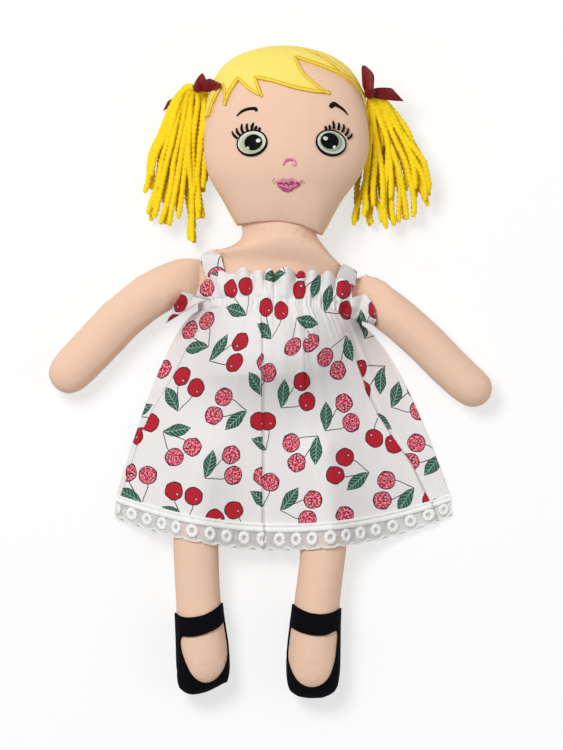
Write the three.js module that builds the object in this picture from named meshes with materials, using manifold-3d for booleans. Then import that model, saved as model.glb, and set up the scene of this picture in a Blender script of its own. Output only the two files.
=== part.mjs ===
// A rag doll that lies on its back: stuffed limbs, cloth hair with yarn bunches, a gathered dress, shoes.
// Millimetres. +X is the viewer's right, +Y runs to the crown and +Z rises out of the chest.
// The origin is on the table under the middle of the torso.
import * as THREE from 'three';
import { LoftGeometry } from 'three/addons/geometries/LoftGeometry.js';
import { mergeVertices } from 'three/addons/utils/BufferGeometryUtils.js';
import Module from 'manifold-3d';

const wasm = await Module();
wasm.setup();

// Fits: the gap between touching pieces, the flat a stuffed form gets on the table, overrun of a cut
const touch = 0.3;
const seamGap = 0.4;
const tableFlat = 0.5;
const overrun = 80;

// Torso: shoulder width, and how far it rises above and sinks below the side seams
const torsoWidth = 97;
const torsoRise = 35;
const torsoSink = 14.5;
const shoulderX = -1.25;
const shoulderY = 44;
const neckBaseAbove = 23;
const hipDrop = 83.5;
const hipShift = -11;
const shoulderLean = -5.5;

// Neck and head
const neckWidth = 50;
const neckDepth = 34;
const neckLength = 10;
const neckRaise = 12;
const neckFlareShare = 1.05;
const headHeight = 109.5;
const headWidth = 101;
const headDepth = 62.5;
const headLean = 3.7;

// Arms: each lies at its own bend, so each has its own width
const armWidthLeft = 27.5;
const armWidthRight = 25;
const armRootWidth = 28;
const armDepth = 29;
const armReachLeft = 89;
const armReachRight = 79;
const armFallLeft = 66;
const armFallRight = 63;
const armRootDropLeft = 1;
const armRootDropRight = 11.5;

// Legs: hip spacing, length from hip seam to toe, and the width of calf and foot
const hipSpacing = 60;
const legLength = 173;
const legWidth = 28;
const legDepth = 31;
const footShare = 1.12;
const legSwayLeft = 10.5;
const legSwayRight = 8.6;

// Cloth thicknesses
const dressCloth = 1.2;
const hairCloth = 1;
const shoeFelt = 1.2;
const strapCloth = 0.9;
const threadHeight = 0.8;
const laceCloth = 0.8;

// Dress: elastic across the chest, frill above it, flared skirt below it, lace along the hem
const elasticWidth = 4.4;
const elasticBelowShoulder = 14.5;
const elasticTilt = 1.7;
const frillWidth = 17.5;
const frillWave = 2.2;
const frillBackShare = 0.82;
const skirtLength = 136;
const skirtHemWidth = 205;
const hemShift = 2;
const hemSag = 18;
const foldHeight = 6;
const gatherHeight = 1.6;
const clothEase = 0.6;
const laceWidth = 15;
const lacePitch = 11.3;
const scallopDepth = 3;
const eyeletRadius = 1.7;
const eyeletShare = 0.62;
const strapWidth = 11.5;
const strapSpacing = 80.5;
const strapTaper = 10;

// Shoes
const shoeLength = 53;
const shoeStrapWidth = 13;
const toeCapLength = 8;
const shoeOpeningWidth = 28;

// Yarn bunches and bows
const bunchLength = 96;
const bunchSpread = 17;
const bunchWidthLeft = 38;
const bunchWidthRight = 48;
const bunchDepth = 24;
const bunchRootRadius = 5;
const bunchRootHeight = 10;
const bunchRaise = 10.5;
const bunchTieDrop = 26;
const bunchStrands = 13;
const ribbonWidth = 6.5;
const ribbonThickness = 0.8;
const bowLoopLength = 15;
const bowLoopHeight = 5;
const bowTailLength = 25;
const bowKnotSize = 6;

// Face: the eyes lie on one line, brows above it, nose and lips below it
const faceX = 6;
const eyeLineAboveNeckSeam = 49.5;
const eyeSpacing = 48.5;
const eyeWidth = 19.4;
const eyeHeight = 16;
const eyeTilt = 12;
const browRise = 20.5;
const browSpacing = 57;
const browLength = 12.5;
const browArch = 3.5;
const browThickness = 1.8;
const noseDrop = 12.3;
const noseShift = 1.3;
const noseWidth = 8;
const noseArch = 2.4;
const noseThickness = 1.6;
const lipsDrop = 25.6;
const lipsShift = 2.7;
const lipsWidth = 17;
const lipsHeight = 8.6;

const skin = new THREE.MeshStandardMaterial({ color: 0xf6d3bf, roughness: 0.9 });
const yellowCloth = new THREE.MeshStandardMaterial({ color: 0xf8df72, roughness: 0.85 });
const yarn = new THREE.MeshStandardMaterial({ color: 0xf2c71e, roughness: 0.95 });
const satin = new THREE.MeshStandardMaterial({ color: 0x7d0d14, roughness: 0.35 });
const whiteCotton = new THREE.MeshStandardMaterial({ color: 0xf3eeee, roughness: 0.85 });
const laceCotton = new THREE.MeshStandardMaterial({ color: 0xfbfbfb, roughness: 0.8 });
const felt = new THREE.MeshStandardMaterial({ color: 0x15161f, roughness: 0.95 });
const whiteThread = new THREE.MeshStandardMaterial({ color: 0xf4f4f0, roughness: 0.5 });
const blackThread = new THREE.MeshStandardMaterial({ color: 0x14120f, roughness: 0.5 });
const pinkThread = new THREE.MeshStandardMaterial({ color: 0xe27a98, roughness: 0.5 });

const doll = new THREE.Group();

// A closed solid from a geometry: shared corners are merged, and faces that shrank to a line are left out
function solidOf(geometry) {
	const plain = new THREE.BufferGeometry();
	plain.setAttribute('position', geometry.attributes.position);
	plain.setIndex(geometry.index);
	const merged = mergeVertices(plain, 1e-4);
	const corners = merged.index.array;
	const faces = [];
	for (let face = 0; face < corners.length; face += 3) {
		const [a, b, c] = corners.slice(face, face + 3);
		if (a !== b && b !== c && c !== a) {
			faces.push(a, b, c);
		}
	}
	return new wasm.Manifold(new wasm.Mesh({
		numProp: 3,
		vertProperties: new Float32Array(merged.attributes.position.array),
		triVerts: new Uint32Array(faces)
	}));
}

function addPiece(name, solid, material) {
	const { numProp, vertProperties, triVerts } = solid.getMesh();
	const geometry = new THREE.BufferGeometry();
	geometry.setAttribute('position', new THREE.BufferAttribute(vertProperties, numProp));
	geometry.setIndex(new THREE.BufferAttribute(triVerts, 1));
	geometry.computeVertexNormals();
	const mesh = new THREE.Mesh(geometry, material);
	mesh.name = name;
	doll.add(mesh);
	return mesh;
}

// Smooth rows of shares: a Catmull-Rom curve through any number of columns
function smoothRow(rows, place) {
	const spot = place * (rows.length - 1);
	const index = Math.min(Math.floor(spot), rows.length - 2);
	const part = spot - index;
	const before = rows[Math.max(index - 1, 0)];
	const after = rows[Math.min(index + 2, rows.length - 1)];
	return rows[index].map((here, column) => {
		const next = rows[index + 1][column];
		const leave = (next - before[column]) / 2;
		const arrive = (after[column] - here) / 2;
		const bend = 2 * (here - next) + leave + arrive;
		const swell = 3 * (next - here) - 2 * leave - arrive;
		return ((bend * part + swell) * part + leave) * part + here;
	});
}

// Past this share of its length a stuffed form closes to a round end
const roundEndShare = 0.85;

// A stuffed form: rings across a flat spine, a seam along both sides, flat where it lies at restHeight.
// Each row holds its place along the spine and the shares of half width, rise above the seam and sink
// below it, then where needed the share of the seam's raise, and the section's edge (0.5 oval, 1 lens).
function stuffedForm(form, grow = 0) {
	const spine = new THREE.CatmullRomCurve3(form.spine.map(([x, y]) => new THREE.Vector3(x, y, 0)));
	const sections = [];
	for (let ring = 0; ring <= form.rings; ring ++) {
		const row = smoothRow(form.rows, ring / form.rings);
		const [along, wide, high, low, raised = 0, edge = 0.5] = row;
		const centre = spine.getPointAt(THREE.MathUtils.clamp(along, 0, 1));
		const tangent = spine.getTangentAt(THREE.MathUtils.clamp(along, 0, 1));
		const angle = form.turn ? form.turn(along) : Math.atan2(tangent.x, - tangent.y);
		const outward = new THREE.Vector3(Math.cos(angle), Math.sin(angle), 0);
		const onward = new THREE.Vector3(outward.y, - outward.x, 0);
		const ending = Math.sqrt(Math.max(0, 1 - wide * wide));
		const reach = along > roundEndShare ? grow * ending : 0;
		const halfWidth = form.width / 2 * wide + grow;
		const rise = form.rise * high + grow;
		const sink = form.sink * low + grow;
		const seam = form.seamHeight + (form.raise || 0) * raised;
		const section = [];
		for (let side = 0; side < form.sides; side ++) {
			const around = side / form.sides * 2 * Math.PI;
			const across = Math.cos(around);
			const full = Math.pow(Math.max(0, 1 - across * across), edge);
			const inGroove = form.groove && side % 2 ? 1 - form.groove : 1;
			const height = (Math.sin(around) >= 0 ? rise : - sink) * full * inGroove;
			section.push(centre.clone()
				.addScaledVector(outward, across * halfWidth * inGroove)
				.addScaledVector(onward, reach)
				.setZ(Math.max(seam + height, form.restHeight - grow)));
		}
		sections.push(section);
	}
	return solidOf(new LoftGeometry(sections, { capStart: true, capEnd: true }));
}

// An upright prism of a plan outline
function prism(points, bottom, top) {
	const outline = new THREE.Shape(points.map(([x, y]) => new THREE.Vector2(x, y)));
	const geometry = new THREE.ExtrudeGeometry(outline, { depth: top - bottom, bevelEnabled: false });
	return solidOf(geometry.translate(0, 0, bottom));
}

// A block of a width and length about a point of the plan
function plate(x, y, width, length, bottom, top) {
	const corners = [[- 0.5, - 0.5], [0.5, - 0.5], [0.5, 0.5], [- 0.5, 0.5]];
	return prism(corners.map(([across, along]) => [x + across * width, y + along * length]), bottom, top);
}

// A cloth patch that follows a stuffed form: the skin between two offsets, inside a prism
function sewnPatch(form, thickness, cutter) {
	return stuffedForm(form, touch + thickness).subtract(stuffedForm(form, touch)).intersect(cutter);
}

function ovalPoints(x, y, width, height, tilt = 0, count = 24) {
	const oval = new THREE.EllipseCurve(x, y, width / 2, height / 2, 0, 2 * Math.PI, false, tilt);
	return oval.getPoints(count).slice(0, count).map(point => [point.x, point.y]);
}

// Torso: a flat-sewn stuffed form, lens-shaped at the arm and hip seams
const bodyRest = dressCloth + touch;
const torsoSeamHeight = bodyRest + torsoSink - tableFlat;
const neckBaseY = shoulderY + neckBaseAbove;
const hipX = shoulderX + hipShift;
const hipY = shoulderY - hipDrop;
const lean = THREE.MathUtils.degToRad(shoulderLean);
const torsoRowShares = [
	[0, neckFlareShare * neckWidth / torsoWidth, neckDepth / 2 / torsoRise, neckDepth / 2 / torsoSink, 1, 0.5],
	[0.05, 0.68, 0.49, 1.15, 0.85, 0.5],
	[0.09, 0.88, 0.52, 1.05, 0.5, 0.6],
	[0.12, 0.975, 0.56, 0.95, 0.2, 0.8],
	[0.17, 1, 0.63, 0.92, 0, 1],
	[0.28, 1, 0.8, 0.96, 0, 1],
	[0.42, 0.985, 0.96, 1, 0, 1],
	[0.58, 0.92, 1, 1, 0, 0.85],
	[0.74, 0.93, 0.95, 1, 0, 0.85],
	[0.86, 0.98, 0.56, 0.95, 0, 1],
	[0.95, 0.99, 0.18, 0.5, 0, 1],
	[1, 0.97, 0.012, 0.03, 0, 1]
];
const torsoLength = neckBaseAbove + hipDrop;
const torsoBendShares = [[0, 0], [0.15, 0], [0.39, 0], [0.63, 0.35], [0.87, 0.8], [1, 1]];
const leanGrowth = along => THREE.MathUtils.smoothstep(along, 0, 0.12);
const leanFade = along => 1 - THREE.MathUtils.smoothstep(along, 0.3, 1);
const torsoForm = {
	spine: torsoBendShares.map(([down, across]) => [
		shoulderX + across * hipShift,
		neckBaseY - down * torsoLength
	]),
	rows: torsoRowShares,
	width: torsoWidth,
	rise: torsoRise,
	sink: torsoSink,
	raise: neckRaise,
	seamHeight: torsoSeamHeight,
	restHeight: bodyRest,
	rings: 16,
	sides: 22,
	turn: along => lean * leanGrowth(along) * leanFade(along)
};

// The armholes are straight, so that each arm can hinge on its seam
function besideArmhole(side, rootDrop) {
	const middleX = shoulderX + side * (torsoWidth + overrun) / 2;
	return plate(middleX, shoulderY - rootDrop, overrun, armRootWidth + 2 * seamGap, - overrun, overrun);
}
const torsoSolid = stuffedForm(torsoForm)
	.subtract(besideArmhole(-1, armRootDropLeft))
	.subtract(besideArmhole(1, armRootDropRight));
const torso = addPiece('torso', torsoSolid, skin);

// Neck: a stump that turns on the torso, with a barrel top that the head nods on
const neckHeight = torsoSeamHeight + neckRaise;
const stumpBaseY = neckBaseY + touch;
const nodY = stumpBaseY + neckLength;
const barrelRadius = neckDepth / 2;

function neckBarrel(grow) {
	const halfLength = neckWidth / 2 + grow;
	const radius = barrelRadius + grow;
	const profile = [];
	const steps = 10;
	for (let step = 0; step <= steps; step ++) {
		const angle = step / steps * Math.PI;
		profile.push(new THREE.Vector2(radius * Math.sin(angle), - halfLength * Math.cos(angle)));
	}
	profile[0].x = 0;
	profile[steps].x = 0;
	const barrel = new THREE.LatheGeometry(profile, 20);
	barrel.rotateZ(- Math.PI / 2);
	return solidOf(barrel.translate(shoulderX, nodY, neckHeight));
}

const neckStumpShares = [[0, neckFlareShare, 1, 1], [0.4, 0.92, 0.9, 0.9], [1, 0.88, 0.88, 0.88]];
const neckForm = {
	spine: [[shoulderX, stumpBaseY], [shoulderX, nodY]],
	rows: neckStumpShares,
	width: neckWidth,
	rise: barrelRadius,
	sink: barrelRadius,
	seamHeight: neckHeight,
	restHeight: 0,
	rings: 3,
	sides: 20,
	turn: () => Math.PI
};
const aboveNeckBase = plate(shoulderX, stumpBaseY + overrun / 2, overrun, overrun, - overrun, overrun);
addPiece('neck', stuffedForm(neckForm).add(neckBarrel(0)).intersect(aboveNeckBase), skin);

// Head: one stuffed form, cut for the barrel that it nods on
const headRest = hairCloth + touch;
const headSeamHeight = headRest + headDepth / 2 - tableFlat;
const headBaseY = nodY;
const headRowShares = [
	[0, 0.44, 0.44, 0.44, 1],
	[0.07, 0.58, 0.62, 0.62, 0.8],
	[0.16, 0.76, 0.78, 0.78, 0.4],
	[0.27, 0.92, 0.91, 0.91, 0.1],
	[0.38, 0.995, 0.98, 0.98, 0],
	[0.5, 1, 1, 1, 0],
	[0.62, 0.965, 0.985, 0.985, 0],
	[0.74, 0.91, 0.92, 0.92, 0],
	[0.84, 0.81, 0.78, 0.78, 0],
	[0.91, 0.67, 0.6, 0.6, 0],
	[0.955, 0.5, 0.42, 0.42, 0],
	[0.985, 0.3, 0.24, 0.24, 0],
	[1, 0.1, 0.08, 0.08, 0]
];
const headBendShares = [[0, 0], [0.4, 1], [0.75, 1], [1, 0.65]];
const headForm = {
	spine: headBendShares.map(([up, across]) => [
		shoulderX + across * headLean,
		headBaseY + up * headHeight
	]),
	rows: headRowShares,
	width: headWidth,
	rise: headDepth / 2,
	sink: headDepth / 2,
	seamHeight: headSeamHeight,
	raise: neckHeight - headSeamHeight,
	restHeight: headRest,
	rings: 20,
	sides: 24,
	turn: () => Math.PI
};
const headCut = neckBarrel(seamGap);
addPiece('head', stuffedForm(headForm).subtract(headCut), skin);

// Hair: a cloth back of the head up to the side seam, and a fringe that is sewn on the front
const fringeShares = [
	[-0.6, 0.56], [-0.42, 0.602], [-0.396, 0.671], [-0.365, 0.726], [-0.337, 0.755],
	[-0.33, 0.66], [-0.247, 0.8], [-0.104, 0.706], [-0.141, 0.807], [-0.036, 0.786],
	[0.085, 0.751], [0.206, 0.731], [0.296, 0.726], [0.206, 0.786], [0.145, 0.835],
	[0.09, 0.909], [0.206, 0.884], [0.342, 0.835], [0.432, 0.786], [0.492, 0.723],
	[0.523, 0.668], [0.7, 0.6], [0.7, 1.2], [-0.6, 1.2]
];
const fringeOutline = fringeShares.map(([across, up]) => [
	shoulderX + across * headWidth,
	headBaseY + up * headHeight
]);
const headMiddleY = headBaseY + headHeight / 2;
const backTop = headSeamHeight - touch / 2;
const backHalf = plate(shoulderX, headMiddleY, 2 * overrun, 2 * overrun, - overrun, backTop);
addPiece('hair_back', sewnPatch(headForm, hairCloth, backHalf).subtract(headCut), yellowCloth);
const fringeCutter = prism(fringeOutline, headSeamHeight + touch / 2, headSeamHeight + overrun);
addPiece('hair_fringe', sewnPatch(headForm, hairCloth, fringeCutter), yellowCloth);

// Arms: sewn flat to the torso's side seams, full in the middle, round at the hand
const rootThinShare = 0.02;

function armForm(side, width, reach, fall, rootDrop, bends) {
	const rootX = shoulderX + side * (torsoWidth / 2 + seamGap);
	const rootY = shoulderY - rootDrop;
	const rootShare = armRootWidth / width;
	return {
		spine: bends.map(([out, down]) => [rootX + side * out * reach, rootY - down * fall]),
		rows: [
			[0, rootShare, rootThinShare, rootThinShare, 1],
			[0.05, rootShare, 0.26, 0.18, 1],
			[0.1, (3 * rootShare + 1) / 4, 0.5, 0.36, 0.6],
			[0.15, (rootShare + 1) / 2, 0.74, 0.6, 0.3],
			[0.21, (rootShare + 3) / 4, 0.95, 0.86, 0],
			[0.35, 1, 1, 1, 0],
			[0.6, 1, 1, 1, 0],
			[0.8, 1, 0.96, 0.96, 0],
			[0.88, 0.97, 0.9, 0.9, 0],
			[0.94, 0.85, 0.76, 0.76, 0],
			[0.977, 0.6, 0.52, 0.52, 0],
			[0.994, 0.33, 0.28, 0.28, 0],
			[1, 0.12, 0.1, 0.1, 0]
		],
		width,
		rise: armDepth / 2,
		sink: armDepth / 2,
		seamHeight: armDepth / 2 - tableFlat,
		raise: torsoSeamHeight - armDepth / 2 + tableFlat,
		restHeight: 0,
		rings: 15,
		sides: 16
	};
}
const leftArmShares = [[0, 0], [0.1, 0], [0.24, 0.065], [0.47, 0.25], [0.69, 0.56], [1, 1]];
const rightArmShares = [[0, 0], [0.08, 0], [0.17, 0.08], [0.33, 0.23], [0.58, 0.52], [0.75, 0.75], [1, 1]];
const leftArmForm = armForm(-1, armWidthLeft, armReachLeft, armFallLeft, armRootDropLeft, leftArmShares);
const rightArmForm = armForm(1, armWidthRight, armReachRight, armFallRight, armRootDropRight, rightArmShares);

function outsideArmhole(side) {
	const seamX = shoulderX + side * (torsoWidth / 2 + seamGap);
	return plate(seamX + side * overrun, shoulderY, 2 * overrun, 4 * overrun, - overrun, overrun);
}
const armLeft = addPiece('arm_left', stuffedForm(leftArmForm).intersect(outsideArmhole(-1)), skin);
const armRight = addPiece('arm_right', stuffedForm(rightArmForm).intersect(outsideArmhole(1)), skin);

// Legs: sewn flat to the hip seam, with a narrow ankle and a broader foot
const legRootShare = 1.25;
const legRowShares = [
	[0, legRootShare, rootThinShare, rootThinShare, 1],
	[0.035, legRootShare, 0.14, 0.25, 1],
	[0.07, 1.23, 0.4, 0.5, 1],
	[0.105, 1.2, 0.66, 0.75, 0.5],
	[0.14, 1.16, 0.96, 0.96, 0],
	[0.25, 1.08, 1, 1, 0],
	[0.42, 0.99, 1, 1, 0],
	[0.58, 0.97, 0.97, 0.97, 0],
	[0.68, 0.98, 0.97, 0.97, 0],
	[0.78, 1.06, 1, 1, 0],
	[0.87, footShare, 0.96, 0.96, 0],
	[0.93, 1.02, 0.84, 0.88, 0],
	[0.968, 0.78, 0.64, 0.72, 0],
	[0.99, 0.45, 0.38, 0.42, 0],
	[1, 0.2, 0.16, 0.2, 0]
];

function legForm(side, swayShares, sway) {
	const rootX = hipX + side * hipSpacing / 2;
	const rootY = hipY - seamGap;
	return {
		spine: swayShares.map(([down, out]) => [rootX + side * out * sway, rootY - down * legLength]),
		rows: legRowShares,
		width: legWidth,
		rise: legDepth / 2,
		sink: legDepth / 2,
		seamHeight: bodyRest + legDepth / 2 - tableFlat,
		raise: torsoSeamHeight - bodyRest - legDepth / 2 + tableFlat,
		restHeight: bodyRest,
		rings: 18,
		sides: 16
	};
}
const leftLegShares = [[0, 0], [0.06, 0], [0.2, 0.5], [0.41, 1], [0.66, 0.88], [0.87, 0.6], [1, 0.77]];
const rightLegShares = [[0, 0], [0.06, 0], [0.2, 0.55], [0.41, 1], [0.66, 0.43], [0.87, 0.15], [1, 0.15]];
const leftLegForm = legForm(-1, leftLegShares, legSwayLeft);
const rightLegForm = legForm(1, rightLegShares, legSwayRight);
const legLeft = addPiece('leg_left', stuffedForm(leftLegForm), skin);
const legRight = addPiece('leg_right', stuffedForm(rightLegForm), skin);

// Shoes: felt round the foot up to the strap, with an open instep between strap and toe cap
const footWidth = footShare * legWidth + 2 * (touch + shoeFelt);

function addShoe(name, form, strapShares) {
	const [toeX, toeY] = form.spine.at(-1);
	const strapTop = strapShares.map(([across, up]) => [
		toeX + across * footWidth / 2,
		toeY + up * shoeLength
	]);
	const outline = [
		[toeX - overrun, toeY - overrun],
		[toeX + overrun, toeY - overrun],
		[toeX + overrun, strapTop.at(-1)[1]],
		...strapTop.toReversed(),
		[toeX - overrun, strapTop[0][1]]
	];
	const strapBottom = strapTop.map(([x, y]) => [x, y - shoeStrapWidth]);
	const openTop = strapBottom[Math.floor(strapBottom.length / 2)][1];
	const openReach = openTop - toeY - toeCapLength;
	const opening = strapBottom.filter(([x]) => Math.abs(x - toeX) < shoeOpeningWidth / 2);
	for (let step = 0; step <= 12; step ++) {
		const angle = - step / 12 * Math.PI;
		const bulge = Math.pow(Math.abs(Math.cos(angle)), 0.75) * Math.sign(Math.cos(angle));
		const drop = Math.pow(Math.abs(Math.sin(angle)), 0.9);
		opening.push([toeX + bulge * shoeOpeningWidth / 2, openTop - drop * openReach]);
	}
	const shell = sewnPatch(form, shoeFelt, prism(outline, - overrun, overrun));
	addPiece(name, shell.subtract(prism(opening, form.seamHeight, overrun)), felt);
}
const leftStrapShares = [[-1.4, 0.99], [-0.9, 0.96], [-0.3, 0.9], [0.4, 0.97], [0.9, 1.07], [1.4, 1.1]];
const rightStrapShares = [[-1.4, 1.12], [-0.9, 1.1], [-0.2, 1.01], [0.3, 1], [0.9, 1.05], [1.4, 1.07]];
addShoe('shoe_left', leftLegForm, leftStrapShares);
addShoe('shoe_right', rightLegForm, rightStrapShares);

// Yarn bunches: each hangs from a round root beside the head and swings about it
const tieShare = 1 - bunchTieDrop / headHeight;
const tieY = headBaseY + headHeight - bunchTieDrop;
const headSpine = new THREE.CatmullRomCurve3(headForm.spine.map(([x, y]) => new THREE.Vector3(x, y, 0)));
const tieRow = Array.from({ length: 400 }, (_, step) => smoothRow(headRowShares, step / 400))
	.find(([along]) => along >= tieShare);
const tieReach = headWidth / 2 * tieRow[1] + touch + hairCloth + touch + bunchRootRadius;
const bunchSeamHeight = bunchDepth / 2 - tableFlat;
const rootMiddle = bunchSeamHeight + bunchRaise;
const rootTop = rootMiddle + bunchRootHeight / 2;
const bunchRowShares = [
	[0, 0.24, 0.4, 0.4, 1],
	[0.1, 0.42, 0.56, 0.56, 0.85],
	[0.22, 0.72, 0.76, 0.76, 0.55],
	[0.36, 0.93, 0.92, 0.92, 0.15],
	[0.52, 1, 1, 1, 0],
	[0.7, 1, 0.98, 0.98, 0],
	[0.85, 0.97, 0.9, 0.9, 0],
	[0.94, 0.8, 0.76, 0.76, 0],
	[1, 0.5, 0.5, 0.5, 0]
];
const bunchBendShares = [[0, 0], [0.11, 0.4], [0.3, 0.84], [0.56, 1], [0.8, 0.96], [1, 0.86]];
const headClearance = stuffedForm(headForm, touch + hairCloth + touch);

function addBunch(name, side, width) {
	const tieX = headSpine.getPointAt(tieShare).x + side * tieReach;
	const form = {
		spine: bunchBendShares.map(([down, out]) => [tieX + side * out * bunchSpread, tieY - down * bunchLength]),
		rows: bunchRowShares,
		width,
		rise: bunchDepth / 2,
		sink: bunchDepth / 2,
		seamHeight: bunchSeamHeight,
		raise: bunchRaise,
		restHeight: 0,
		rings: 12,
		sides: 2 * bunchStrands,
		groove: 0.1
	};
	const root = new THREE.CylinderGeometry(bunchRootRadius, bunchRootRadius, bunchRootHeight, 16);
	root.rotateX(Math.PI / 2);
	const rootSolid = solidOf(root.translate(tieX, tieY, rootMiddle));
	addPiece(name, stuffedForm(form).add(rootSolid).subtract(headClearance), yarn);
	return tieX;
}
const tieLeftX = addBunch('yarn_bunch_left', -1, bunchWidthLeft);
const tieRightX = addBunch('yarn_bunch_right', 1, bunchWidthRight);

// Bows: a knot on the root, ribbon loops that tilt up from it and one tail each
function addBow(name, tieX, loops, tailAngle) {
	const knotHeight = rootTop + touch + bowKnotSize / 2;
	const knot = new THREE.SphereGeometry(bowKnotSize / 2, 8, 6);
	let bow = solidOf(knot.translate(tieX, tieY, knotHeight));
	const insideLength = bowLoopLength - 2 * ribbonThickness;
	const insideHeight = bowLoopHeight - 2 * ribbonThickness;
	const asPath = points => points.map(([x, y]) => new THREE.Vector2(x, y));
	for (const [heading, tilt] of loops) {
		const rim = ovalPoints(bowLoopLength / 2, 0, bowLoopLength, bowLoopHeight, 0, 12);
		const outline = new THREE.Shape(asPath(rim));
		const hole = ovalPoints(bowLoopLength / 2, 0, insideLength, insideHeight, 0, 8);
		outline.holes.push(new THREE.Path(asPath(hole)));
		const loop = new THREE.ExtrudeGeometry(outline, { depth: ribbonWidth, bevelEnabled: false });
		loop.translate(0, 0, - ribbonWidth / 2);
		loop.rotateX(Math.PI / 2);
		loop.rotateY(- THREE.MathUtils.degToRad(tilt));
		loop.rotateZ(THREE.MathUtils.degToRad(heading));
		bow = bow.add(solidOf(loop.translate(tieX, tieY, knotHeight)));
	}
	const tail = new THREE.BoxGeometry(bowTailLength, ribbonWidth, ribbonThickness);
	tail.translate(bowTailLength / 2, 0, rootTop + touch + ribbonThickness);
	tail.rotateZ(THREE.MathUtils.degToRad(tailAngle));
	bow = bow.add(solidOf(tail.translate(tieX, tieY, 0)));
	addPiece(name, bow.subtract(headClearance), satin);
}
const leftBowLoops = [[97, 12], [12, 68]];
const rightBowLoops = [[104, 12], [172, 66]];
addBow('bow_left', tieLeftX, leftBowLoops, 207);
addBow('bow_right', tieRightX, rightBowLoops, -18);

// Face: embroidered patches that follow the head
const eyeY = headBaseY + eyeLineAboveNeckSeam;

function addEmbroidery(name, outline, material) {
	addPiece(name, sewnPatch(headForm, threadHeight, prism(outline, headSeamHeight, overrun)), material);
}

function archOutline(x, y, length, arch, thickness) {
	const steps = 8;
	const edge = lift => Array.from({ length: steps + 1 }, (_, step) => {
		const across = 2 * step / steps - 1;
		const fall = across * across;
		return [x + across * length / 2, y + arch * (0.5 - fall) + lift * (1 - 0.5 * fall)];
	});
	return [...edge(- thickness / 2), ...edge(thickness / 2).reverse()];
}
for (const [name, side] of [['left', -1], ['right', 1]]) {
	const tilt = THREE.MathUtils.degToRad(- side * eyeTilt);
	const eyeOutline = ovalPoints(faceX + side * eyeSpacing / 2, eyeY, eyeWidth, eyeHeight, tilt);
	addEmbroidery('eye_' + name, eyeOutline, whiteThread);
	const browX = faceX + side * browSpacing / 2;
	const browOutline = archOutline(browX, eyeY + browRise, browLength, browArch, browThickness);
	addEmbroidery('brow_' + name, browOutline, blackThread);
}
const noseOutline = archOutline(faceX - noseShift, eyeY - noseDrop, noseWidth, noseArch, noseThickness);
addEmbroidery('nose', noseOutline, pinkThread);
const lipsOutline = Array.from({ length: 20 }, (_, step) => {
	const angle = step / 20 * 2 * Math.PI;
	const height = Math.sin(angle) * Math.abs(Math.sin(angle)) ** 0.4;
	return [faceX - lipsShift + Math.cos(angle) * lipsWidth / 2, eyeY - lipsDrop + height * lipsHeight / 2];
});
addEmbroidery('lips', lipsOutline, pinkThread);

// Dress elastic: a gathered casing round the torso that dips under both arms
const clothHalf = torsoWidth / 2 + touch + dressCloth;
const chestY = shoulderY - elasticBelowShoulder;

function armpitDrop(side, rootDrop) {
	const clearOfArm = rootDrop + armRootWidth / 2 + 2 * seamGap + elasticWidth / 2;
	return clearOfArm - elasticBelowShoulder - side * elasticTilt;
}

// Grows from 0 in the middle to 1 at the sides, most of it close to the sides
function atSides(u) {
	return Math.abs(u) ** 5;
}

function elasticY(u) {
	const drop = u < 0 ? armpitDrop(-1, armRootDropLeft) : armpitDrop(1, armRootDropRight);
	return chestY - elasticTilt * u - drop * atSides(u);
}

function bandOutline(lower, upper, reach) {
	const edge = lift => Array.from({ length: 25 }, (_, step) => {
		const u = reach * (step / 12 - 1);
		return [shoulderX + u * clothHalf, elasticY(u) + lift];
	});
	return [...edge(lower), ...edge(upper).reverse()];
}
const pastSideShare = 1.06;
const elasticOutline = bandOutline(- elasticWidth / 2, elasticWidth / 2, pastSideShare);
const elasticBand = prism(elasticOutline, - overrun, overrun);
const elastic = addPiece('dress_elastic', sewnPatch(torsoForm, dressCloth, elasticBand), whiteCotton);

// Shoulder straps: from behind the frill, over the shoulder and down the back
const frillTopY = chestY + elasticWidth / 2 + frillWidth;
const belowFrillTop = frillTopY + touch - overrun;
const behindFrill = plate(shoulderX, belowFrillTop, 4 * overrun, 2 * overrun, - overrun, torsoSeamHeight);

function addStrap(name, side) {
	const across = (spacing, edge) => shoulderX + side * spacing / 2 + edge * strapWidth / 2;
	const overElastic = x => [x, elasticY((x - shoulderX) / clothHalf) + elasticWidth / 2 + touch];
	const highY = neckBaseY + touch;
	const outline = [
		overElastic(across(strapSpacing - strapTaper, -1)),
		overElastic(across(strapSpacing - strapTaper, 0)),
		overElastic(across(strapSpacing - strapTaper, 1)),
		[across(strapSpacing, 1), highY],
		[across(strapSpacing, -1), highY]
	];
	const strap = sewnPatch(torsoForm, strapCloth, prism(outline, - overrun, overrun)).subtract(behindFrill);
	return addPiece(name, strap, whiteCotton);
}
const strapLeft = addStrap('strap_left', -1);
const strapRight = addStrap('strap_right', 1);

// Hanging cloth: it lies on what is under it and falls off it no steeper than this share
const clothSlope = 0.9;
const ray = new THREE.Raycaster();
const downward = new THREE.Vector3(0, 0, -1);

function topUnder(supports, places) {
	return Math.max(bodyRest, ...places.map(([x, y]) => {
		ray.set(new THREE.Vector3(x, y, overrun), downward);
		const [hit] = ray.intersectObjects(supports);
		return hit ? hit.point.z : bodyRest;
	}));
}

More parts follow.
